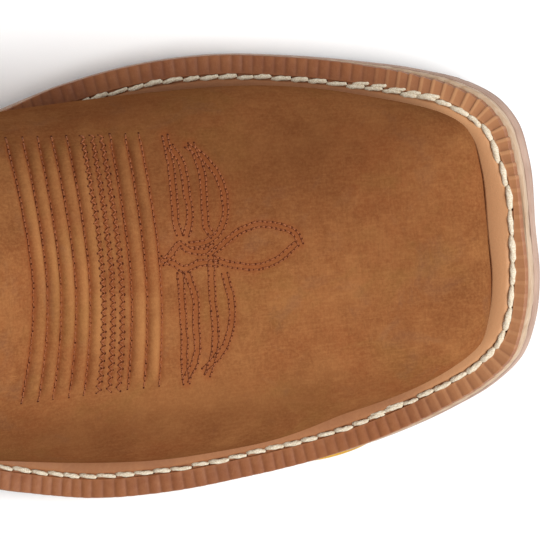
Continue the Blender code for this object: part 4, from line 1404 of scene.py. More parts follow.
def front_share(station):
    """From 0 to 1 on the straight front of the toe."""
    return smooth_step((np.asarray(station) - TOE_FRONT_FROM) / (TOE_FRONT_TO - TOE_FRONT_FROM))


def step_back(run):
    """How far the upper layers lie back from the edge at the toe, up to 1 at its inner corner."""
    place = around_sole(run, SOLE)
    inner, outer = (
        nearness(np.linalg.norm(place - np.array(corner), axis=-1), STEP_BACK_REACH)
        for corner in (INNER_CORNER, OUTER_CORNER)
    )
    front = FRONT_STEP_BACK * front_share(place[..., 0])
    return 1 - (1 - inner) * (1 - front) * (1 - OUTER_STEP_BACK * outer)


def stitch_inset(run):
    """How far the welt stitches run inside the outline."""
    station, side = np.moveaxis(around_sole(run, SOLE), -1, 0)
    inset = SIDE_STITCH_INSET + (CORNER_STITCH_INSET - SIDE_STITCH_INSET) * toe_share(station)
    for bump in STITCH_WANDER:
        near = nearness(side - bump.side * MM, bump.reach * MM)
        inset = inset + bump.extra * MM * near * toe_share(station, *WANDER_STRETCH)
    inset = inset + (TOE_STITCH_INSET - CORNER_STITCH_INSET) * front_share(station)
    return inset + STITCH_STEP_BACK * step_back(run)


def even_runs(spacing_at, share=1.0):
    """Runs round the outline between which lies one pitch each, by a pitch for each place."""
    run = np.linspace(0, PERIMETER, PITCH_SAMPLES)
    middle = (run[1:] + run[:-1]) / 2
    counted = running(np.diff(run) / spacing_at(middle))
    count = int(round(counted[-1]))
    return np.interp(np.arange(0, count, share) / count * counted[-1], counted, run), count


def rib_pitch(run):
    """The ribs' pitch measured on the outline, longer at the toe."""
    station = around_sole(run, SOLE)[:, 0]
    return RIB_PITCH + (TOE_RIB_PITCH - RIB_PITCH) * toe_share(station)


def welt():
    """The ribbed edge, the channel that the stitches lie in, and the smooth strip beside the upper."""
    run, ribs = even_runs(rib_pitch, 1 / RIB_STEPS)
    station, side = around_sole(run, SOLE).T
    tucked = side_tuck(station, side) + TOE_TUCK * front_share(station)
    margin = around_sole(run, MARGIN[:, None])[:, 0] + STRIP_UNDER * tucked
    back = WELT_STEP_BACK * step_back(run)
    phase = (np.arange(len(run)) % RIB_STEPS) / RIB_STEPS
    dice = np.random.default_rng(4)
    lift = np.repeat(1 + dice.normal(0, RIB_UNEVEN, ribs), RIB_STEPS)
    rounded = 1 - abs(2 * phase - 1) ** 2.2
    toe = smooth_step((station - CORNER_FROM) / 0.02) * (0.4 + 0.6 * inner_share(side))
    saw = np.clip(phase * 1.25, 0, 1) ** 0.8 * (phase < 0.95)
    rib = (rounded + (saw - rounded) * toe) * lift
    faint = front_share(station) * smooth_step((0.018 - side) / 0.012)
    rib = 1 + (rib - 1) * (1 - 0.6 * faint)
    stitch = stitch_inset(run)
    band = np.minimum(stitch - STITCH_ROOM, margin * 0.86)
    sewn = smooth_step((margin - WELT_SEW_MARGIN) / (1 * MM))
    strip = np.maximum(margin - SEAM_WIDTH - stitch - STITCH_ROOM, 0)
    top = WELT_THICKNESS
    insets, heights, welt_shade, seam = [], [], [], []

    def add(inset, height, dark=0.0, at_seam=0.0):
        insets.append(np.broadcast_to(inset, run.shape))
        heights.append(np.broadcast_to(height, run.shape))
        welt_shade.append(np.broadcast_to(dark, run.shape))
        seam.append(np.broadcast_to(at_seam, run.shape))

    corner = toe * (1 - faint)
    edge = RIB_SCALLOP * (1 - rib) * (0.2 + 0.8 * corner) + back
    # painted shade in the hollows between ribs, and on the outer wall at the toe
    hollow_shade = RIB_HOLLOW_SHADE * np.clip(1 - rib, 0, 1) ** 1.5
    walled = WALL_SHADE * toe_share(station)
    add(edge + 0.3 * MM, 0)
    add(edge, 0.25 * MM, 0.5 * hollow_shade + walled)
    add(edge, 0.62 * top, 0.6 * hollow_shade + walled)
    for share, shown in RIB_TOPS:
        height = top + (rib - 1) * RIB_DEPTH * shown - (0.05 * MM if share < 0.04 else 0)
        add(np.maximum(back + (band - back) * share, edge + 0.2 * MM), height, hollow_shade * shown)
    floor_of_channel = top - CHANNEL_DEPTH * sewn
    # painted shade on the channel floor
    for share, dark in CHANNEL:
        add(band + (stitch - band) * share * sewn, floor_of_channel, dark * sewn)
    wide = smooth_step(strip / (1 * MM))
    for share in STRIP_SHARES:
        swell = STRIP_SWELL * math.sin(math.pi * min(share * 0.8 + 0.1, 1)) * wide
        start = np.where(strip > 0, stitch + STITCH_ROOM, band + (stitch - band) * CHANNEL[-1].share * sewn)
        inset = start + (margin - SEAM_WIDTH - start) * share
        add(np.maximum(inset, insets[-1] + 1e-5), top + swell, 0, 0.6 * (share > 0.95))
    last = np.maximum(margin, insets[-1])
    add(last - 0.55 * SEAM_WIDTH, top - 0.35 * MM, 0, 1)
    add(last + 0.6 * MM, top - 0.3 * MM, 0, 1)
    add(last + UPPER_WALL, top - 0.1 * MM, 0, 1)
    add(last + UPPER_WALL, 0, 0, 1)
    points = round_sole(run[:, None], np.column_stack(insets), WELT_LOW + np.column_stack(heights))
    rows, cols = points.shape[:2]
    faces = []
    for row in range(rows):
        faces += ring_faces(cols, row * cols, (row + 1) % rows * cols)
    on_ribs = np.arange(cols)[None, :] < RIB_COLUMNS
    # painted light at the toe, and painted highlight on the rib crests at its corners
    toe_light = toe_share(station, *TOE_LIGHT_STRETCH)[:, None]
    crest_highlight = RIB_CREST_HIGHLIGHT * ((corner + 0.5 * faint) * (phase > 0.65))[:, None]
    on_wall = np.arange(cols)[None, :] < WALL_COLUMNS
    edge_light = np.where(on_wall, WALL_LIT_AT_TOE, RIBS_LIT_AT_TOE) * toe_light + crest_highlight
    pale = np.where(on_ribs, edge_light, PALE_STRIP + STRIP_LIT_AT_TOE * toe_light)
    shade = np.where(side > 0, INNER_SHADE, 0.0) * (1 - toe_share(station, *SHADE_STRETCH))
    values = {
        "welt_shade": np.clip(np.column_stack(welt_shade) + shade[:, None], 0, 1),
        "seam": np.column_stack(seam),
        "pale": np.clip(pale, 0, 1),
    }
    add_piece("welt_strip", points, faces, WELT_SKIN, "welt_leather", ["welt"], smooth=50, values=values)


welt()


# The welt stitches

WELT_STITCH_PITCH = 5.1 * MM
TOE_STITCH_PITCH = 6.6 * MM
STITCH_STEPS = 18
STITCH_SIDES = 12
SIDE_STITCH_WIDTH = 1.18 * MM
TOE_STITCH_WIDTH = 1.62 * MM
STITCH_SLANT = 0.26 * MM
STITCH_HEIGHT = 0.62 * MM
WELT_SEWN_FROM = 0.50 * LENGTH

# Where a second stitch lies over the first: stations and sides from and to, in metres, then how far its
# two ends and its inset differ from the first's, its share of the first's width, and its height, in
# millimetres
Doubled = namedtuple("Doubled", "first last low high start end inset width height")
DOUBLED = [
    Doubled(CORNER_FROM, 0.286, 0.02, 1.0, -1.4, -1.6, -0.95, 0.80, 0.50),
    Doubled(CORNER_FROM, 0.272, -1.0, 0.0, 0.6, 0.9, 0.55, 0.85, 0.62),
]


def rope(run_from, run_to, inset, width, height, slant, plump, dice):
    """One thick twisted stitch in the welt's channel, pulled down into the leather at both ends."""
    share = np.linspace(0, 1, STITCH_STEPS)
    run = run_from + (run_to - run_from) * share
    bend = dice.normal(0, 0.12 * MM) * np.sin(math.pi * share)
    inwards = inset + slant * (0.5 - share) * 2 + bend
    arch = np.sin(math.pi * share) ** 0.3
    up = WELT_LOW + WELT_THICKNESS - CHANNEL_DEPTH + height * (1.2 * arch - 0.45)
    body = np.clip(np.sin(math.pi * np.clip(share, 0.05, 0.95)), 0, 1) ** 0.16
    lumps = 1 + 0.07 * np.sin(share * dice.uniform(7, 12) + dice.uniform(0, 6))
    return round_sole(run, inwards, up), width / 2 * plump * body * lumps


def stitch_pitch(run):
    """The stitches' pitch measured on the outline, longer where the path turns inside the toe's corners."""
    station = around_sole(run, SOLE)[:, 0]
    share = toe_share(station, *LONG_STITCH_STRETCH)
    return WELT_STITCH_PITCH + (TOE_STITCH_PITCH - WELT_STITCH_PITCH) * share


def welt_sewing():
    """The stitches along the channel, and the needle holes between them."""
    joints, _ = even_runs(stitch_pitch)
    joints = joints[(joints > run_at(WELT_SEWN_FROM, -1)) & (joints < run_at(WELT_SEWN_FROM, 1))]
    count = len(joints) - 1
    dice = np.random.default_rng(11)
    joints[1:-1] += dice.normal(0, 0.25 * MM, count - 1)
    paths, radii, holes = [], [], []
    for k in range(count):
        middle = (joints[k] + joints[k + 1]) / 2
        station, side = around_sole(middle, SOLE)
        toe = float(toe_share(station))
        width = SIDE_STITCH_WIDTH + (TOE_STITCH_WIDTH - SIDE_STITCH_WIDTH) * toe
        inset = float(stitch_inset(middle)) + dice.normal(0, 0.10 * MM)
        rear_first = side < 0
        slant = STITCH_SLANT * (1 - 0.7 * toe) * (1 if rear_first else -1)
        open_end = dice.uniform(0.06, 0.20) * MM
        plump = dice.uniform(0.86, 1.16)
        first, last = joints[k] + open_end, joints[k + 1] - open_end
        ropes = [rope(first, last, inset, width, STITCH_HEIGHT, slant, plump, dice)]
        for spot in DOUBLED:
            if spot.first < station < spot.last and spot.low < side < spot.high:
                starts, stops = first + spot.start * MM, last + spot.end * MM
                over = inset + spot.inset * MM
                ropes.append(rope(starts, stops, over, spot.width * width, spot.height * MM, slant, 1, dice))
        paths += [path for path, _ in ropes]
        radii += [reach for _, reach in ropes]
        at_toe = toe > 0.2
        outwards = (0.75 if at_toe and side > 0 else 0.35) * MM
        size = (0.36 if at_toe else 0.26) * MM
        holes.append((joints[k], inset - outwards, size))
    paths, radii = np.array(paths), np.array(radii)
    ups = np.zeros_like(paths)
    ups[..., 2] = 1
    twisted = tubes(paths, ups, radii, STITCH_SIDES, lobes=3, lobe_depth=0.10, twist=0.24, flat=0.8)
    add_piece("welt_stitches", *twisted, CREAM_THREAD, "welt_leather", smooth=70)
    runs, insets, sizes = np.array(holes).T
    height = WELT_LOW + WELT_THICKNESS - CHANNEL_DEPTH + 0.12 * MM
    centres = round_sole(runs, insets, height)
    ahead = unit(round_sole(runs + 1 * MM, insets, height) - centres)
    ups = np.zeros_like(centres)
    ups[:, 2] = 1
    pits = discs(centres, ups, ahead, sizes, lift=0.1 * MM)
    add_piece("welt_needle_holes", *pits, NEEDLE_HOLE_SHADE, "welt_leather")


welt_sewing()


# The sole's layers

EDGE_SAMPLES = 1440
LAYER_ACROSS = 4
TREAD_WALL = 0.35 * MM
OUTSOLE_LIP = 0.35 * MM
EDGE_ROUGH = 0.10 * MM
ROUGH_WAVES = (900, 377)
OPEN_SEAM_AT = (0.290, -0.040)
OPEN_SEAM_REACH = 15 * MM


def edge_runs():
    return (np.arange(EDGE_SAMPLES) + 0.5) / EDGE_SAMPLES * PERIMETER


def layer_solid(profile, bottom=None, across=LAYER_ACROSS):
    """A sole layer with the outline's shape. The profile has (inset, height) over the bottom line."""
    run = edge_runs()
    rings = [round_sole(run, inset, np.broadcast_to(height, run.shape)) for inset, height in profile]
    return loop_solid(rings, across, bottom)


def midsole():
    """The pale leather board, with a slightly rough cut edge."""
    run = edge_runs()
    out = -MIDSOLE_STEP_BACK * step_back(run)
    rough = EDGE_ROUGH * np.sin(run * ROUGH_WAVES[0]) * np.sin(run * ROUGH_WAVES[1] + 1)
    low, high = OUTSOLE_THICKNESS + GAP, OUTSOLE_THICKNESS + GAP + MIDSOLE_THICKNESS
    profile = [
        (0.25 * MM - out, low),
        (-out + rough, low + 0.35 * MM),
        (-out, (low + high) / 2),
        (-out - rough, high - 0.35 * MM),
        (0.35 * MM - out, high),
    ]
    add_piece("midsole_layer", *layer_solid(profile), MIDSOLE_EDGE, "midsole_leather", ["midsole"])


def tread_depth(station, first, last):
    """How deep the cross grooves of the tread are at stations, with steep walls."""
    count = int((last - first) / TREAD_PITCH)
    along = (np.asarray(station) - first) / TREAD_PITCH - 0.5
    into = (along - np.floor(along)) * TREAD_PITCH
    inside = np.minimum(into, TREAD_GROOVE - into)
    here = (along >= 0) & (along < count)
    return TREAD_DEPTH * smooth_step(inside / TREAD_WALL) * here


def outsole():
    """The rubber sole, with fine lines round its edge and grooves across its tread."""
    run = edge_runs()
    station = around_sole(run, SOLE)[:, 0]
    inner_side = smooth_step(around_sole(run, SOLE)[:, 1] / (20 * MM))
    out = OUTSOLE_LIP * inner_side * smooth_step((station - 0.12) / 0.03) * (1 - toe_share(station))
    deep = tread_depth(station, TREAD_FROM * LENGTH, TREAD_TO * LENGTH)
    toe = toe_share(station)
    away = np.linalg.norm(around_sole(run, SOLE) - np.array(OPEN_SEAM_AT), axis=1)
    line = nearness(away, OPEN_SEAM_REACH)
    profile = [
        (0.6 * MM - out, deep),
        (0.1 * MM - out - 0.25 * MM * inner_side * toe, np.maximum(deep, 0.6 * MM)),
        (-out, np.maximum(deep, 1.2 * MM)),
        (0.12 * MM - out, 2.3 * MM),
        (-out, 2.6 * MM),
        (-out, 3.9 * MM),
        (0.14 * MM - out, 4.1 * MM),
        (-out, 4.3 * MM),
        (0.3 * MM - out, OUTSOLE_THICKNESS),
    ]

    def grooved(points):
        deep = tread_depth(station_of(points[..., 0]), TREAD_FROM * LENGTH, TREAD_TO * LENGTH)
        z = lifted(station_of(points[..., 0]), deep)[1]
        return np.stack([points[..., 0], points[..., 1], z], axis=-1)

    solid = layer_solid(profile, grooved, across=8)
    # painted shade along the outsole's lowest edge, and a dark line along its top edge near the outer toe
    # corner
    rims = np.zeros((len(profile), len(run)))
    rims[:2] = 0.8
    rims[-1] = 0.9 * line
    add_piece(
        "outsole_layer", *solid, OUTSOLE_RUBBER, "sole_rubber", ["outsole"],
        smooth=35, values={"layer": padded(rims, solid[0])},
    )


ACCENT_FROM = 0.238
ACCENT_TO = 0.260
ACCENT_STEPS = 60
ACCENT_INSIDE = 1.5
ACCENT_MIDDLE = 2.6
# Its section: insets from the sole's edge and heights above the bottom line, in millimetres
ACCENT_PROFILE = [
    (ACCENT_INSIDE, 1.4),
    (-0.5, 1.6),
    (-0.65, ACCENT_MIDDLE),
    (-0.5, 3.6),
    (ACCENT_INSIDE, 3.8),
]


def accent():
    """A yellow sliver let into the sole's edge on the outer side, ahead of the ball of the foot."""
    run = np.linspace(run_at(ACCENT_FROM, -1), run_at(ACCENT_TO, -1), ACCENT_STEPS)
    share = np.linspace(0, 1, ACCENT_STEPS)
    bulge = np.sin(math.pi * share) ** 0.4
    rings = []
    for inset, height in ACCENT_PROFILE:
        reach = (ACCENT_INSIDE - (ACCENT_INSIDE - inset) * bulge) * MM
        middle = ACCENT_MIDDLE + (height - ACCENT_MIDDLE) * (0.3 + 0.7 * bulge)
        rings.append(round_sole(run, reach, middle * MM))
    grid = np.stack(rings, axis=1)
    size, total = len(ACCENT_PROFILE), len(ACCENT_PROFILE) * ACCENT_STEPS
    faces = grid_faces(ACCENT_STEPS, size)
    j = np.arange(ACCENT_STEPS - 1) * size
    faces += np.column_stack([j + size - 1, j, j + size, j + 2 * size - 1]).tolist()
    faces += [list(range(size)), list(range(total - 1, total - size - 1, -1))]
    add_piece("sole_accent", grid, faces, ACCENT_RUBBER, "sole_rubber")


def insole():
    """The padded footbed inside the upper."""
    run = edge_runs()
    inset = around_sole(run, MARGIN[:, None])[:, 0] + UPPER_WALL + 0.8 * MM
    profile = [
        (inset, WELT_LOW),
        (inset, WELT_LOW + INSOLE_THICKNESS - 1.2 * MM),
        (inset + 0.4 * MM, WELT_LOW + INSOLE_THICKNESS - 0.3 * MM),
        (inset + 1.4 * MM, WELT_LOW + INSOLE_THICKNESS),
    ]
    add_piece("insole_pad", *layer_solid(profile, across=6), SOCK, "insole_leather", ["insole"])


# The heel

HEEL_STATIONS = 110
HEEL_LIFTS = 5
# The edge of the heel's rubber: heights above the floor and insets, in millimetres
HEEL_CAP_PROFILE = [(0, 0.5), (0.5, 0.1), (1.6, 0), (4.6, 0), (4.9, 0.15), (5.2, 0), (7.2, 0), (7.5, 0.25)]


def heel_loop(level, inset):
    """The heel's outline at a height above the floor: narrower and shorter towards the floor."""
    halves = side_of(SOLE, -1), side_of(SOLE, 1)
    first, last = SOLE[:, 0].min() + LENGTH * 0.001, HEEL_BREAST_AT * LENGTH
    middle = last / 2
    station = first + (last - first) * (1 - np.cos(np.linspace(0, math.pi / 2, HEEL_STATIONS)))
    drop = 1 - level / HEEL_HEIGHT
    narrow = 1 - (1 - HEEL_TAPER) * drop
    slope = np.where(station < middle, HEEL_BACK_SLOPE, HEEL_BREAST_SLOPE)
    at = station + slope * drop * (middle - station) / middle
    at = middle + (at - middle) * (1 - inset / middle)
    outer, inner = (np.maximum(half(station) * narrow - inset, 0.05 * MM) for half in halves)
    ring = np.vstack([np.column_stack([at, -outer]), np.column_stack([at, inner])[::-1]])
    return np.column_stack([ring[:, 0] - ORIGIN_AT * LENGTH, ring[:, 1], np.full(len(ring), level)])


def heel_stack():
    """The heel's leather lifts, with a dark line sunk between each and the next."""
    low, high = HEEL_CAP_THICKNESS + GAP, HEEL_HEIGHT - GAP
    levels = [(low, 0.3 * MM, 1.0), (low + 0.3 * MM, 0, 0.4)]
    step = (high - low) / HEEL_LIFTS
    for k in range(1, HEEL_LIFTS):
        seam = low + k * step
        levels += [(seam - 0.35 * MM, 0, 0.3), (seam, 0.22 * MM, 1.0), (seam + 0.35 * MM, 0, 0.3)]
        levels.insert(-3, (seam - step / 2, 0, 0.0))
    levels += [(high - step / 2, 0, 0.0), (high - 0.3 * MM, 0, 0.4), (high, 0.3 * MM, 1.0)]
    rings = [heel_loop(level, inset) for level, inset, _ in levels]
    points, faces = loop_solid(rings, 3)
    lines = np.repeat([layer for _, _, layer in levels], len(rings[0]))
    add_piece(
        "heel_lifts", points, faces, HEEL_EDGE, "heel_leather", ["heel_stack"],
        smooth=45, values={"layer": padded(lines, points)},
    )


def heel_cap():
    """The heel's rubber top piece, with grooves across its underside."""
    first, last = HEEL_TREAD_FROM * LENGTH, HEEL_TREAD_TO * LENGTH

    def grooved(points):
        deep = tread_depth(station_of(points[..., 0]), first, last)
        return np.stack([points[..., 0], points[..., 1], deep], axis=-1)

    rings = []
    for level, inset in HEEL_CAP_PROFILE:
        ring = heel_loop(level * MM, inset * MM)
        ring[:, 2] = np.maximum(ring[:, 2], tread_depth(station_of(ring[:, 0]), first, last))
        rings.append(ring)
    solid = loop_solid(rings, 6, grooved)
    add_piece("heel_top_piece", *solid, HEEL_RUBBER, "sole_rubber", ["heel_cap"], smooth=35)


midsole()
outsole()
accent()
insole()
heel_stack()
heel_cap()


# The stitched pattern on the vamp

ROW_PITCH = 1.55 * MM
MEDALLION_PITCH = 1.3 * MM
ROW_THREAD = 0.46 * MM
ROW_RISE = 0.10 * MM
ROW_JITTER = 0.09
ROW_HOLE = 0.66
ZIGZAG_ROWS = (5, 6, 7)
ZIGZAG_PITCH = 0.95 * MM
ZIGZAG_REACH = 0.55 * MM


def seam_on_vamp(tree, line, pitch, dice, width=ROW_THREAD, rise=ROW_RISE, hole_size=ROW_HOLE, zigzag=0.0):
    """A row of stitches on the vamp along a line of (station, side) seen from above."""
    marks = spaced(line, pitch, dice, ROW_JITTER, line)[0]
    if zigzag:
        turns = np.where(np.arange(len(marks)) % 2, 1, -1)[:, None]
        along = unit(np.gradient(marks, axis=0))
        marks = marks + zigzag * turns * np.column_stack([-along[:, 1], along[:, 0]])
    marks = marks + dice.normal(0, 0.06 * MM, marks.shape)
    holes, ups = below(tree, marks[:, 0], marks[:, 1])
    return sew(holes, ups, width, rise, dice, hole_size)


def vamp_pattern():
    """All the rows of stitches on the vamp: those between the cords, then the medallion's."""
    dice = np.random.default_rng(23)
    tree = tree_of(UPPER)
    seams = []
    for index in range(len(VAMP_LINES)):
        low, high = line_ends(index)
        side = np.linspace(high, low, 60)
        line = np.column_stack([line_station(index, side), side])
        if index in ZIGZAG_ROWS:
            seams.append(seam_on_vamp(tree, line, ZIGZAG_PITCH, dice, zigzag=ZIGZAG_REACH))
        else:
            seams.append(seam_on_vamp(tree, line, ROW_PITCH, dice))
    for offset, knots in MEDALLION:
        line = smooth_line(np.array(knots) * MM)
        seams.append(seam_on_vamp(tree, line, MEDALLION_PITCH, dice))
        seams.append(seam_on_vamp(tree, beside(line, offset * MM), MEDALLION_PITCH, dice))
    add_sewing("vamp_stitches", seams, RUST_THREAD, "upper_leather", SMALL_HOLE_SHADE)


vamp_pattern()


# The heel counter

COUNTER_FOOT_ROWS = 90
COUNTER_LEG_ROWS = 39
COUNTER_COLUMNS = 60
COUNTER_REACH = (8.0, 24.0)
COUNTER_LOW = 0.35 * MM
COUNTER_HIGH = 2.1 * MM
COUNTER_SKIVE = 0.7 * MM
SKIVE_REACH = 1.3 * MM
COUNTER_SHADOW = 0.75
COUNTER_SHADOW_REACH = 4 * MM
RAW_EDGE_SHADOW = 0.5
RAW_EDGE_REACH = 0.9 * MM


def over_counter(points):
    """How far points lie above the counter's top edge."""
    station = station_of(points[..., 0])
    edge = curve(column(COUNTER, "at"), column(COUNTER, "height"), station / LENGTH) * COUNTER_HEIGHT
    return points[..., 2] - (bottom_height(station) + STACK + edge)


def counter_half(side):
    """One side of the counter as a fine grid: from the front tip round to the back, from the sole up."""
    tests = np.linspace(*COUNTER_REACH, 1600)
    covered = tests[over_counter(upper_at(tests, float(side))) < -0.4 * MM]
    rows = np.concatenate([
        np.linspace(covered[0], FOOT_KEYS, COUNTER_FOOT_ROWS + 1),
        np.linspace(FOOT_KEYS, covered[-1], COUNTER_LEG_ROWS + 1)[1:],
    ])
    across = np.linspace(1, 0, 400)
    grid = over_counter(upper_at(rows[:, None], side * across[None, :]))
    top = across[np.argmax(grid > 0, axis=1)]
    share = np.linspace(0, 1, COUNTER_COLUMNS + 1)
    across = side * (1 - share[None, :] * (1 - top[:, None]))
    places = np.broadcast_to(rows[:, None], across.shape)
    base, normals = upper_at(places, across), upper_normals(places, across)
    normals[COUNTER_FOOT_ROWS:, 0, 1] = 0
    normals = unit(normals)
    run = running(np.linalg.norm(np.diff(base, axis=1), axis=2), axis=1)
    from_top = run[:, -1:] - run
    lift = COUNTER_HIGH - COUNTER_SKIVE * nearness(from_top, SKIVE_REACH)
    outer = base + normals * lift[..., None]
    keep = slice(None, None, INSIDE_STEP)
    inner = (base + normals * COUNTER_LOW)[keep, keep]
    points, faces = shell(outer, inner, INSIDE_STEP, (COUNTER_FOOT_ROWS, len(rows) - 1))
    dark = COUNTER_SHADOW * np.exp(-((run / COUNTER_SHADOW_REACH) ** 1.3)) * (places < FOOT_KEYS)
    dark = dark + RAW_EDGE_SHADOW * nearness(from_top, RAW_EDGE_REACH)
    return points, faces, padded(np.clip(dark, 0, 1), points), outer, normals, from_top


def line_at(grid, ups, distance, wanted):
    """Where the rows of a grid reach a distance that falls along each, for the rows long enough."""
    line, normals = [], []
    for points, up, away in zip(grid, ups, distance):
        if away.max() > wanted + 0.5 * MM:
            order = np.argsort(away)
            line.append(read_at(wanted, away[order], points[order])[0])
            normals.append(read_at(wanted, away[order], up[order])[0])
    return np.array(line), np.array(normals)


UPPER_STITCH_PITCH = 2.6 * MM
UPPER_STITCH_JITTER = 0.06
UPPER_THREAD = 0.65 * MM
UPPER_STITCH_RISE = 0.16 * MM
DOUBLE_ROWS = (2.3 * MM, 4.9 * MM)


def sewn_along(line, ups, dice):
    """A row of cream stitches along a line on the upper, counter or straps."""
    holes, hole_ups = spaced(line, UPPER_STITCH_PITCH, dice, UPPER_STITCH_JITTER, line, ups)
    return sew(holes, unit(hole_ups), UPPER_THREAD, UPPER_STITCH_RISE, dice)


def heel_counter():
    """The counter's two sides as one cover, and its two rows of stitches."""
    halves = [counter_half(side) for side in (-1, 1)]
    points, faces = joined([half[:2] for half in halves])
    dark = np.concatenate([half[2] for half in halves])
    blank = np.zeros(len(dark))
    add_piece(
        "heel_counter_cover", points, faces, COUNTER_SKIN, "counter_leather", ["heel_counter"],
        values={"shadow": dark, "pale_and_highlight": blank, "stitch": blank},
    )
    dice = np.random.default_rng(31)
    seams = []
    for wanted in DOUBLE_ROWS:
        (near, near_up), (far, far_up) = (line_at(*half[3:], wanted) for half in halves)
        seams.append(sewn_along(np.vstack([near, far[::-1]]), np.vstack([near_up, far_up[::-1]]), dice))
    add_sewing("counter_stitches", seams, CREAM_THREAD, "counter_leather")


def vamp_edge_stitches():
    """Two rows along the vamp's top edge, where it is sewn to the shaft."""
    dice = np.random.default_rng(37)
    rows = slice(VAMP_ROWS - 40, VAMP_ROWS)
    grid = UPPER_GRID[rows].swapaxes(0, 1)
    ups = UPPER_NORMALS[rows].swapaxes(0, 1)
    distance = np.linalg.norm(grid - grid[:, -1:], axis=2)
    seams = [sewn_along(*line_at(grid, ups, distance, wanted), dice) for wanted in DOUBLE_ROWS]
    add_sewing("vamp_edge_stitches", seams, CREAM_THREAD, "upper_leather")


# The shaft's trim

BINDING_DEEP = 8 * MM
BINDING_THICK = 0.75 * MM
PIPING_RADIUS = 1.25 * MM
PIPING_STEPS = 200
SIDE_SEAM_AT = 0.5
STRAP_STEPS = 30
STRAP_COLUMNS = 8
STRAP_FACE = 1.4 * MM
STRAP_AIR = 0.9 * MM
FINE_HALF = 240

# The binding's outer face from its lower edge up, and its inner face from the top down: how deep each line
# lies below the collar, and how far it stands out, as a share of the binding's thickness
BINDING_EDGE = BINDING_DEEP - 0.6 * MM
BINDING_OUTSIDE = [(BINDING_DEEP, 0), (BINDING_DEEP, 0.8), (BINDING_EDGE, 1), (4 * MM, 1.05), (0.8 * MM, 1)]
BINDING_INSIDE = [(0.8 * MM, 1), (4 * MM, 1), (BINDING_EDGE, 1), (BINDING_DEEP, 0)]


def collar_binding():
    """A folded strip round the shaft's top edge."""
    columns = np.linspace(-1, 1, 241)[:-1]
    rows = COLLAR - np.linspace(0, 1, 40)
    down = upper_at(rows[:, None], columns[None, :])
    normals = upper_normals(rows[:, None], columns[None, :])
    run = running(np.linalg.norm(np.diff(down, axis=0), axis=2))
    rings = []

    def level(depth, out):
        k = np.array([np.interp(depth, deep, np.arange(len(rows))) for deep in run.T])
        low = np.clip(k.astype(int), 0, len(rows) - 2)
        share = (k - low)[:, None]
        c = np.arange(len(columns))
        point = down[low, c] * (1 - share) + down[low + 1, c] * share
        up = unit(normals[low, c])
        up[0, 1] = 0
        rings.append(point + unit(up) * out)

    wall, thick = UPPER_WALL, BINDING_THICK
    for depth, share in BINDING_OUTSIDE:
        level(depth, thick * share)
    top = unit(down[0] - down[1])
    for angle in np.linspace(0, math.pi, 7):
        level(0, -wall / 2 + (wall / 2 + thick) * math.cos(angle))
        rings[-1] = rings[-1] + top * (wall / 2 + thick) * 0.7 * math.sin(angle)
    for depth, share in BINDING_INSIDE:
        level(depth, -wall - thick * share)
    grid = np.array(rings)
    count, around = grid.shape[:2]
    faces = []
    for ring in range(count):
        faces += ring_faces(around, ring * around, (ring + 1) % count * around)
    add_piece("collar_binding", grid, faces, STRAP_SKIN, "upper_leather", smooth=50)
    dice = np.random.default_rng(41)
    edge = grid[2] * 0.55 + grid[3] * 0.45
    ups = unit(upper_normals(COLLAR - 0.3, columns))
    loop, loop_ups = np.vstack([edge, edge[:1]]), np.vstack([ups, ups[:1]])
    add_sewing("binding_stitches", [sewn_along(loop, loop_ups, dice)], CREAM_THREAD, "upper_leather")


def side_piping():
    """A round cord in each side seam of the shaft, from the vamp up to the pull strap."""
    paths, ups = [], []
    for side in (-1, 1):
        seam = side * SIDE_SEAM_AT
        places = np.linspace(vamp_top(SIDE_SEAM_AT) - 0.15, COLLAR, 2 * PIPING_STEPS)
        line = upper_at(places, seam)
        top = line[-1, 2] - STRAP_LEG - 2 * MM
        places = np.linspace(places[0], np.interp(top, line[:, 2], places), PIPING_STEPS)
        normals = upper_normals(places, seam)
        paths.append(upper_at(places, seam) + normals * 0.35 * MM)
        ups.append(normals)
    share = np.linspace(0, 1, PIPING_STEPS)
    radii = PIPING_RADIUS * np.minimum(1, 6 * np.minimum(share, 1 - share) + 0.5)
    radii = np.broadcast_to(radii, (2, PIPING_STEPS))
    points, faces = tubes(np.array(paths), np.array(ups), radii, sides=12)
    add_piece("side_piping", points, faces, STRAP_SKIN, "upper_leather")


def strap_lines(side):
    """Lines up the shaft across the strap's width: level at the foot, then along the collar."""
    places = FOOT_KEYS + LEG_KEYS * np.linspace(0.6, 1, 60)
    fine = np.linspace(1, 0, FINE_HALF + 1)
    rows = upper_at(places[:, None], side * fine[None, :])
    top_run = np.linalg.norm(np.diff(rows[-1], axis=0), axis=1).sum()
    shares = 0.5 + np.linspace(-0.5, 0.5, STRAP_COLUMNS + 1) * STRAP_WIDTH / top_run
    lines = [upper_at(places, side * (1 - share)) for share in shares]
    foot = max(line[-1, 2] for line in lines) - STRAP_LEG
    legs = []
    for line in lines:
        heights = np.linspace(foot, line[-1, 2], STRAP_STEPS + 1)
        legs.append(read_at(heights, line[:, 2], line))
    return np.array(legs).swapaxes(0, 1)


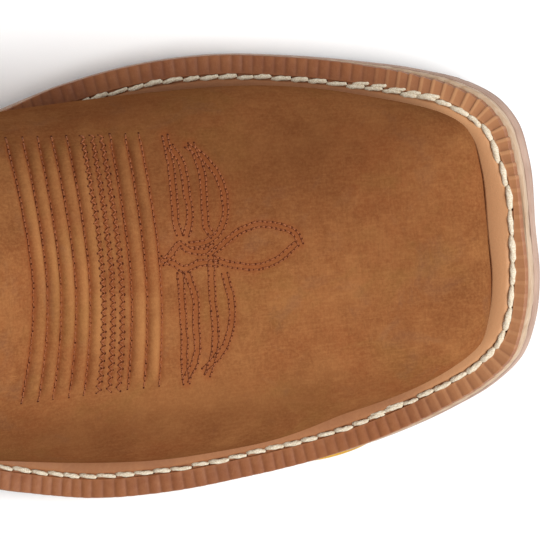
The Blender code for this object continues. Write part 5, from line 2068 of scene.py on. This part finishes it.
def pull_strap(name, node, side):
    """A strap sewn to both faces of the shaft's top edge and arched over it."""
    reach = STRAP_AIR + STRAP_FACE / 2
    legs = strap_lines(side)
    out = np.array([0, float(side), 0])
    up = np.array([0, 0, 1.0])
    centres, outs = [leg + out * reach for leg in legs], [out] * len(legs)
    waist = UPPER_WALL / 2 + reach
    for turn in np.linspace(0, math.pi, STRAP_STEPS + 1)[1:-1]:
        swing = (waist + STRAP_BULGE * math.sin(turn) ** 2) * math.cos(turn)
        height = STRAP_LOOP * math.sin(turn) + STRAP_THICKNESS * smooth_step(3 * math.sin(turn))
        centres.append(legs[-1] + out * (swing - UPPER_WALL / 2) + up * height)
        outs.append(out * math.cos(turn) + up * math.sin(turn))
    centres += [leg - out * (UPPER_WALL + reach) for leg in legs[::-1]]
    outs += [-out] * len(legs)
    centres, outs = np.array(centres), np.array(outs)[:, None]
    share = np.linspace(-1, 1, STRAP_COLUMNS + 1)
    half = STRAP_FACE / 2 * (1 - 0.5 * abs(share) ** 6)[None, :, None]
    rings = np.concatenate([centres + outs * half, (centres - outs * half)[:, ::-1]], axis=1)
    rows, size = rings.shape[:2]
    faces = []
    for row in range(rows - 1):
        faces += ring_faces(size, row * size, (row + 1) * size)
    for start in (0, (rows - 1) * size):
        for c in range(STRAP_COLUMNS):
            faces.append([start + c, start + c + 1, start + size - 2 - c, start + size - 1 - c])
    add_piece(name, rings, faces, STRAP_SKIN, "strap_leather", [node])
    dice = np.random.default_rng(43 + side)
    face = centres + outs * (STRAP_FACE / 2 + 0.02 * MM)
    seams = []
    for col in (1, STRAP_COLUMNS - 1):
        seams.append(sewn_along(face[:, col], outs[:, 0], dice))
    for row in (2, rows - 3):
        line = face[row, 1:STRAP_COLUMNS]
        seams.append(sewn_along(line, np.broadcast_to(outs[row], line.shape), dice))
    add_sewing(name + "_stitches", seams, CREAM_THREAD, "strap_leather")


heel_counter()
vamp_edge_stitches()
collar_binding()
side_piping()
pull_strap("strap_lateral", "pull_strap_lateral", -1)
pull_strap("strap_medial", "pull_strap_medial", 1)


# Camera, light and floor

PHOTO_ROLL = 5.5
CAMERA_DISTANCE = 2.0
SENSOR = 36.0
FRAME_WIDTH = 0.1403
TARGET = Vector((0.2006, -0.0043, 0.015))
LEAN_INNER = 1.0
WORLD_LIGHT = 0.45
KEY_WATTS = 19
KEY_AT = (0.9, -0.3, 1.05)
KEY_SIZE = 0.8
FILL_WATTS = 4
FILL_AT = (-0.7, 0.8, 1.1)
FILL_SIZE = 1.2
FLOOR_REACH = 3.0
PAPER = (0.98, 0.98, 0.98, 1)
PAPER_SHADE = (0.97, 0.97, 0.97, 1)


def placed(name, data):
    made = bpy.data.objects.new(name, data)
    bpy.context.scene.collection.objects.link(made)
    return made


def camera():
    """Looks almost straight down on the forefoot, rolled so that the boot points up to the right."""
    data = bpy.data.cameras.new("camera")
    data.sensor_width = SENSOR
    data.lens = SENSOR * CAMERA_DISTANCE / FRAME_WIDTH
    data.clip_start, data.clip_end = 0.05, 50
    made = placed("camera", data)
    roll = math.radians(PHOTO_ROLL)
    back = Vector((0, math.tan(math.radians(LEAN_INNER)), 1)).normalized()
    up = Vector((math.sin(roll), math.cos(roll), 0))
    up = (up - back * up.dot(back)).normalized()
    right = up.cross(back)
    made.rotation_mode = "QUATERNION"
    made.rotation_quaternion = Matrix([right, up, back]).transposed().to_quaternion()
    made.location = TARGET + back * CAMERA_DISTANCE
    bpy.context.scene.camera = made


def softbox(name, place, size, watts, aim=(0.1, 0, 0.08)):
    """A square soft light that the camera doesn't see."""
    data = bpy.data.lights.new(name, "AREA")
    data.size = size
    data.energy = watts
    made = placed(name, data)
    made.location = place
    made.rotation_mode = "QUATERNION"
    made.rotation_quaternion = (Vector(aim) - Vector(place)).to_track_quat("-Z", "Y")
    made.visible_camera = False


def floor():
    mesh = bpy.data.meshes.new("floor")
    corners = [(x * FLOOR_REACH, y * FLOOR_REACH, 0) for x, y in ((-1, -1), (1, -1), (1, 1), (-1, 1))]
    mesh.from_pydata(corners, [], [(0, 1, 2, 3)])
    s = Shade("floor_paper", roughness=0.9, specular=0.1)
    s.colour(s.mix(s.spread(s.noise(6, 2), 0.3, 0.7), PAPER, PAPER_SHADE))
    mesh.materials.append(s.material)
    placed("floor", mesh)


def world():
    made = bpy.data.worlds.new("studio")
    made.use_nodes = True
    background = made.node_tree.nodes["Background"]
    background.inputs["Color"].default_value = (1, 1, 1, 1)
    background.inputs["Strength"].default_value = WORLD_LIGHT
    bpy.context.scene.world = made


camera()
floor()
world()
softbox("key_light", KEY_AT, KEY_SIZE, KEY_WATTS)
softbox("fill_light", FILL_AT, FILL_SIZE, FILL_WATTS)
bpy.context.scene.view_settings.view_transform = "Standard"
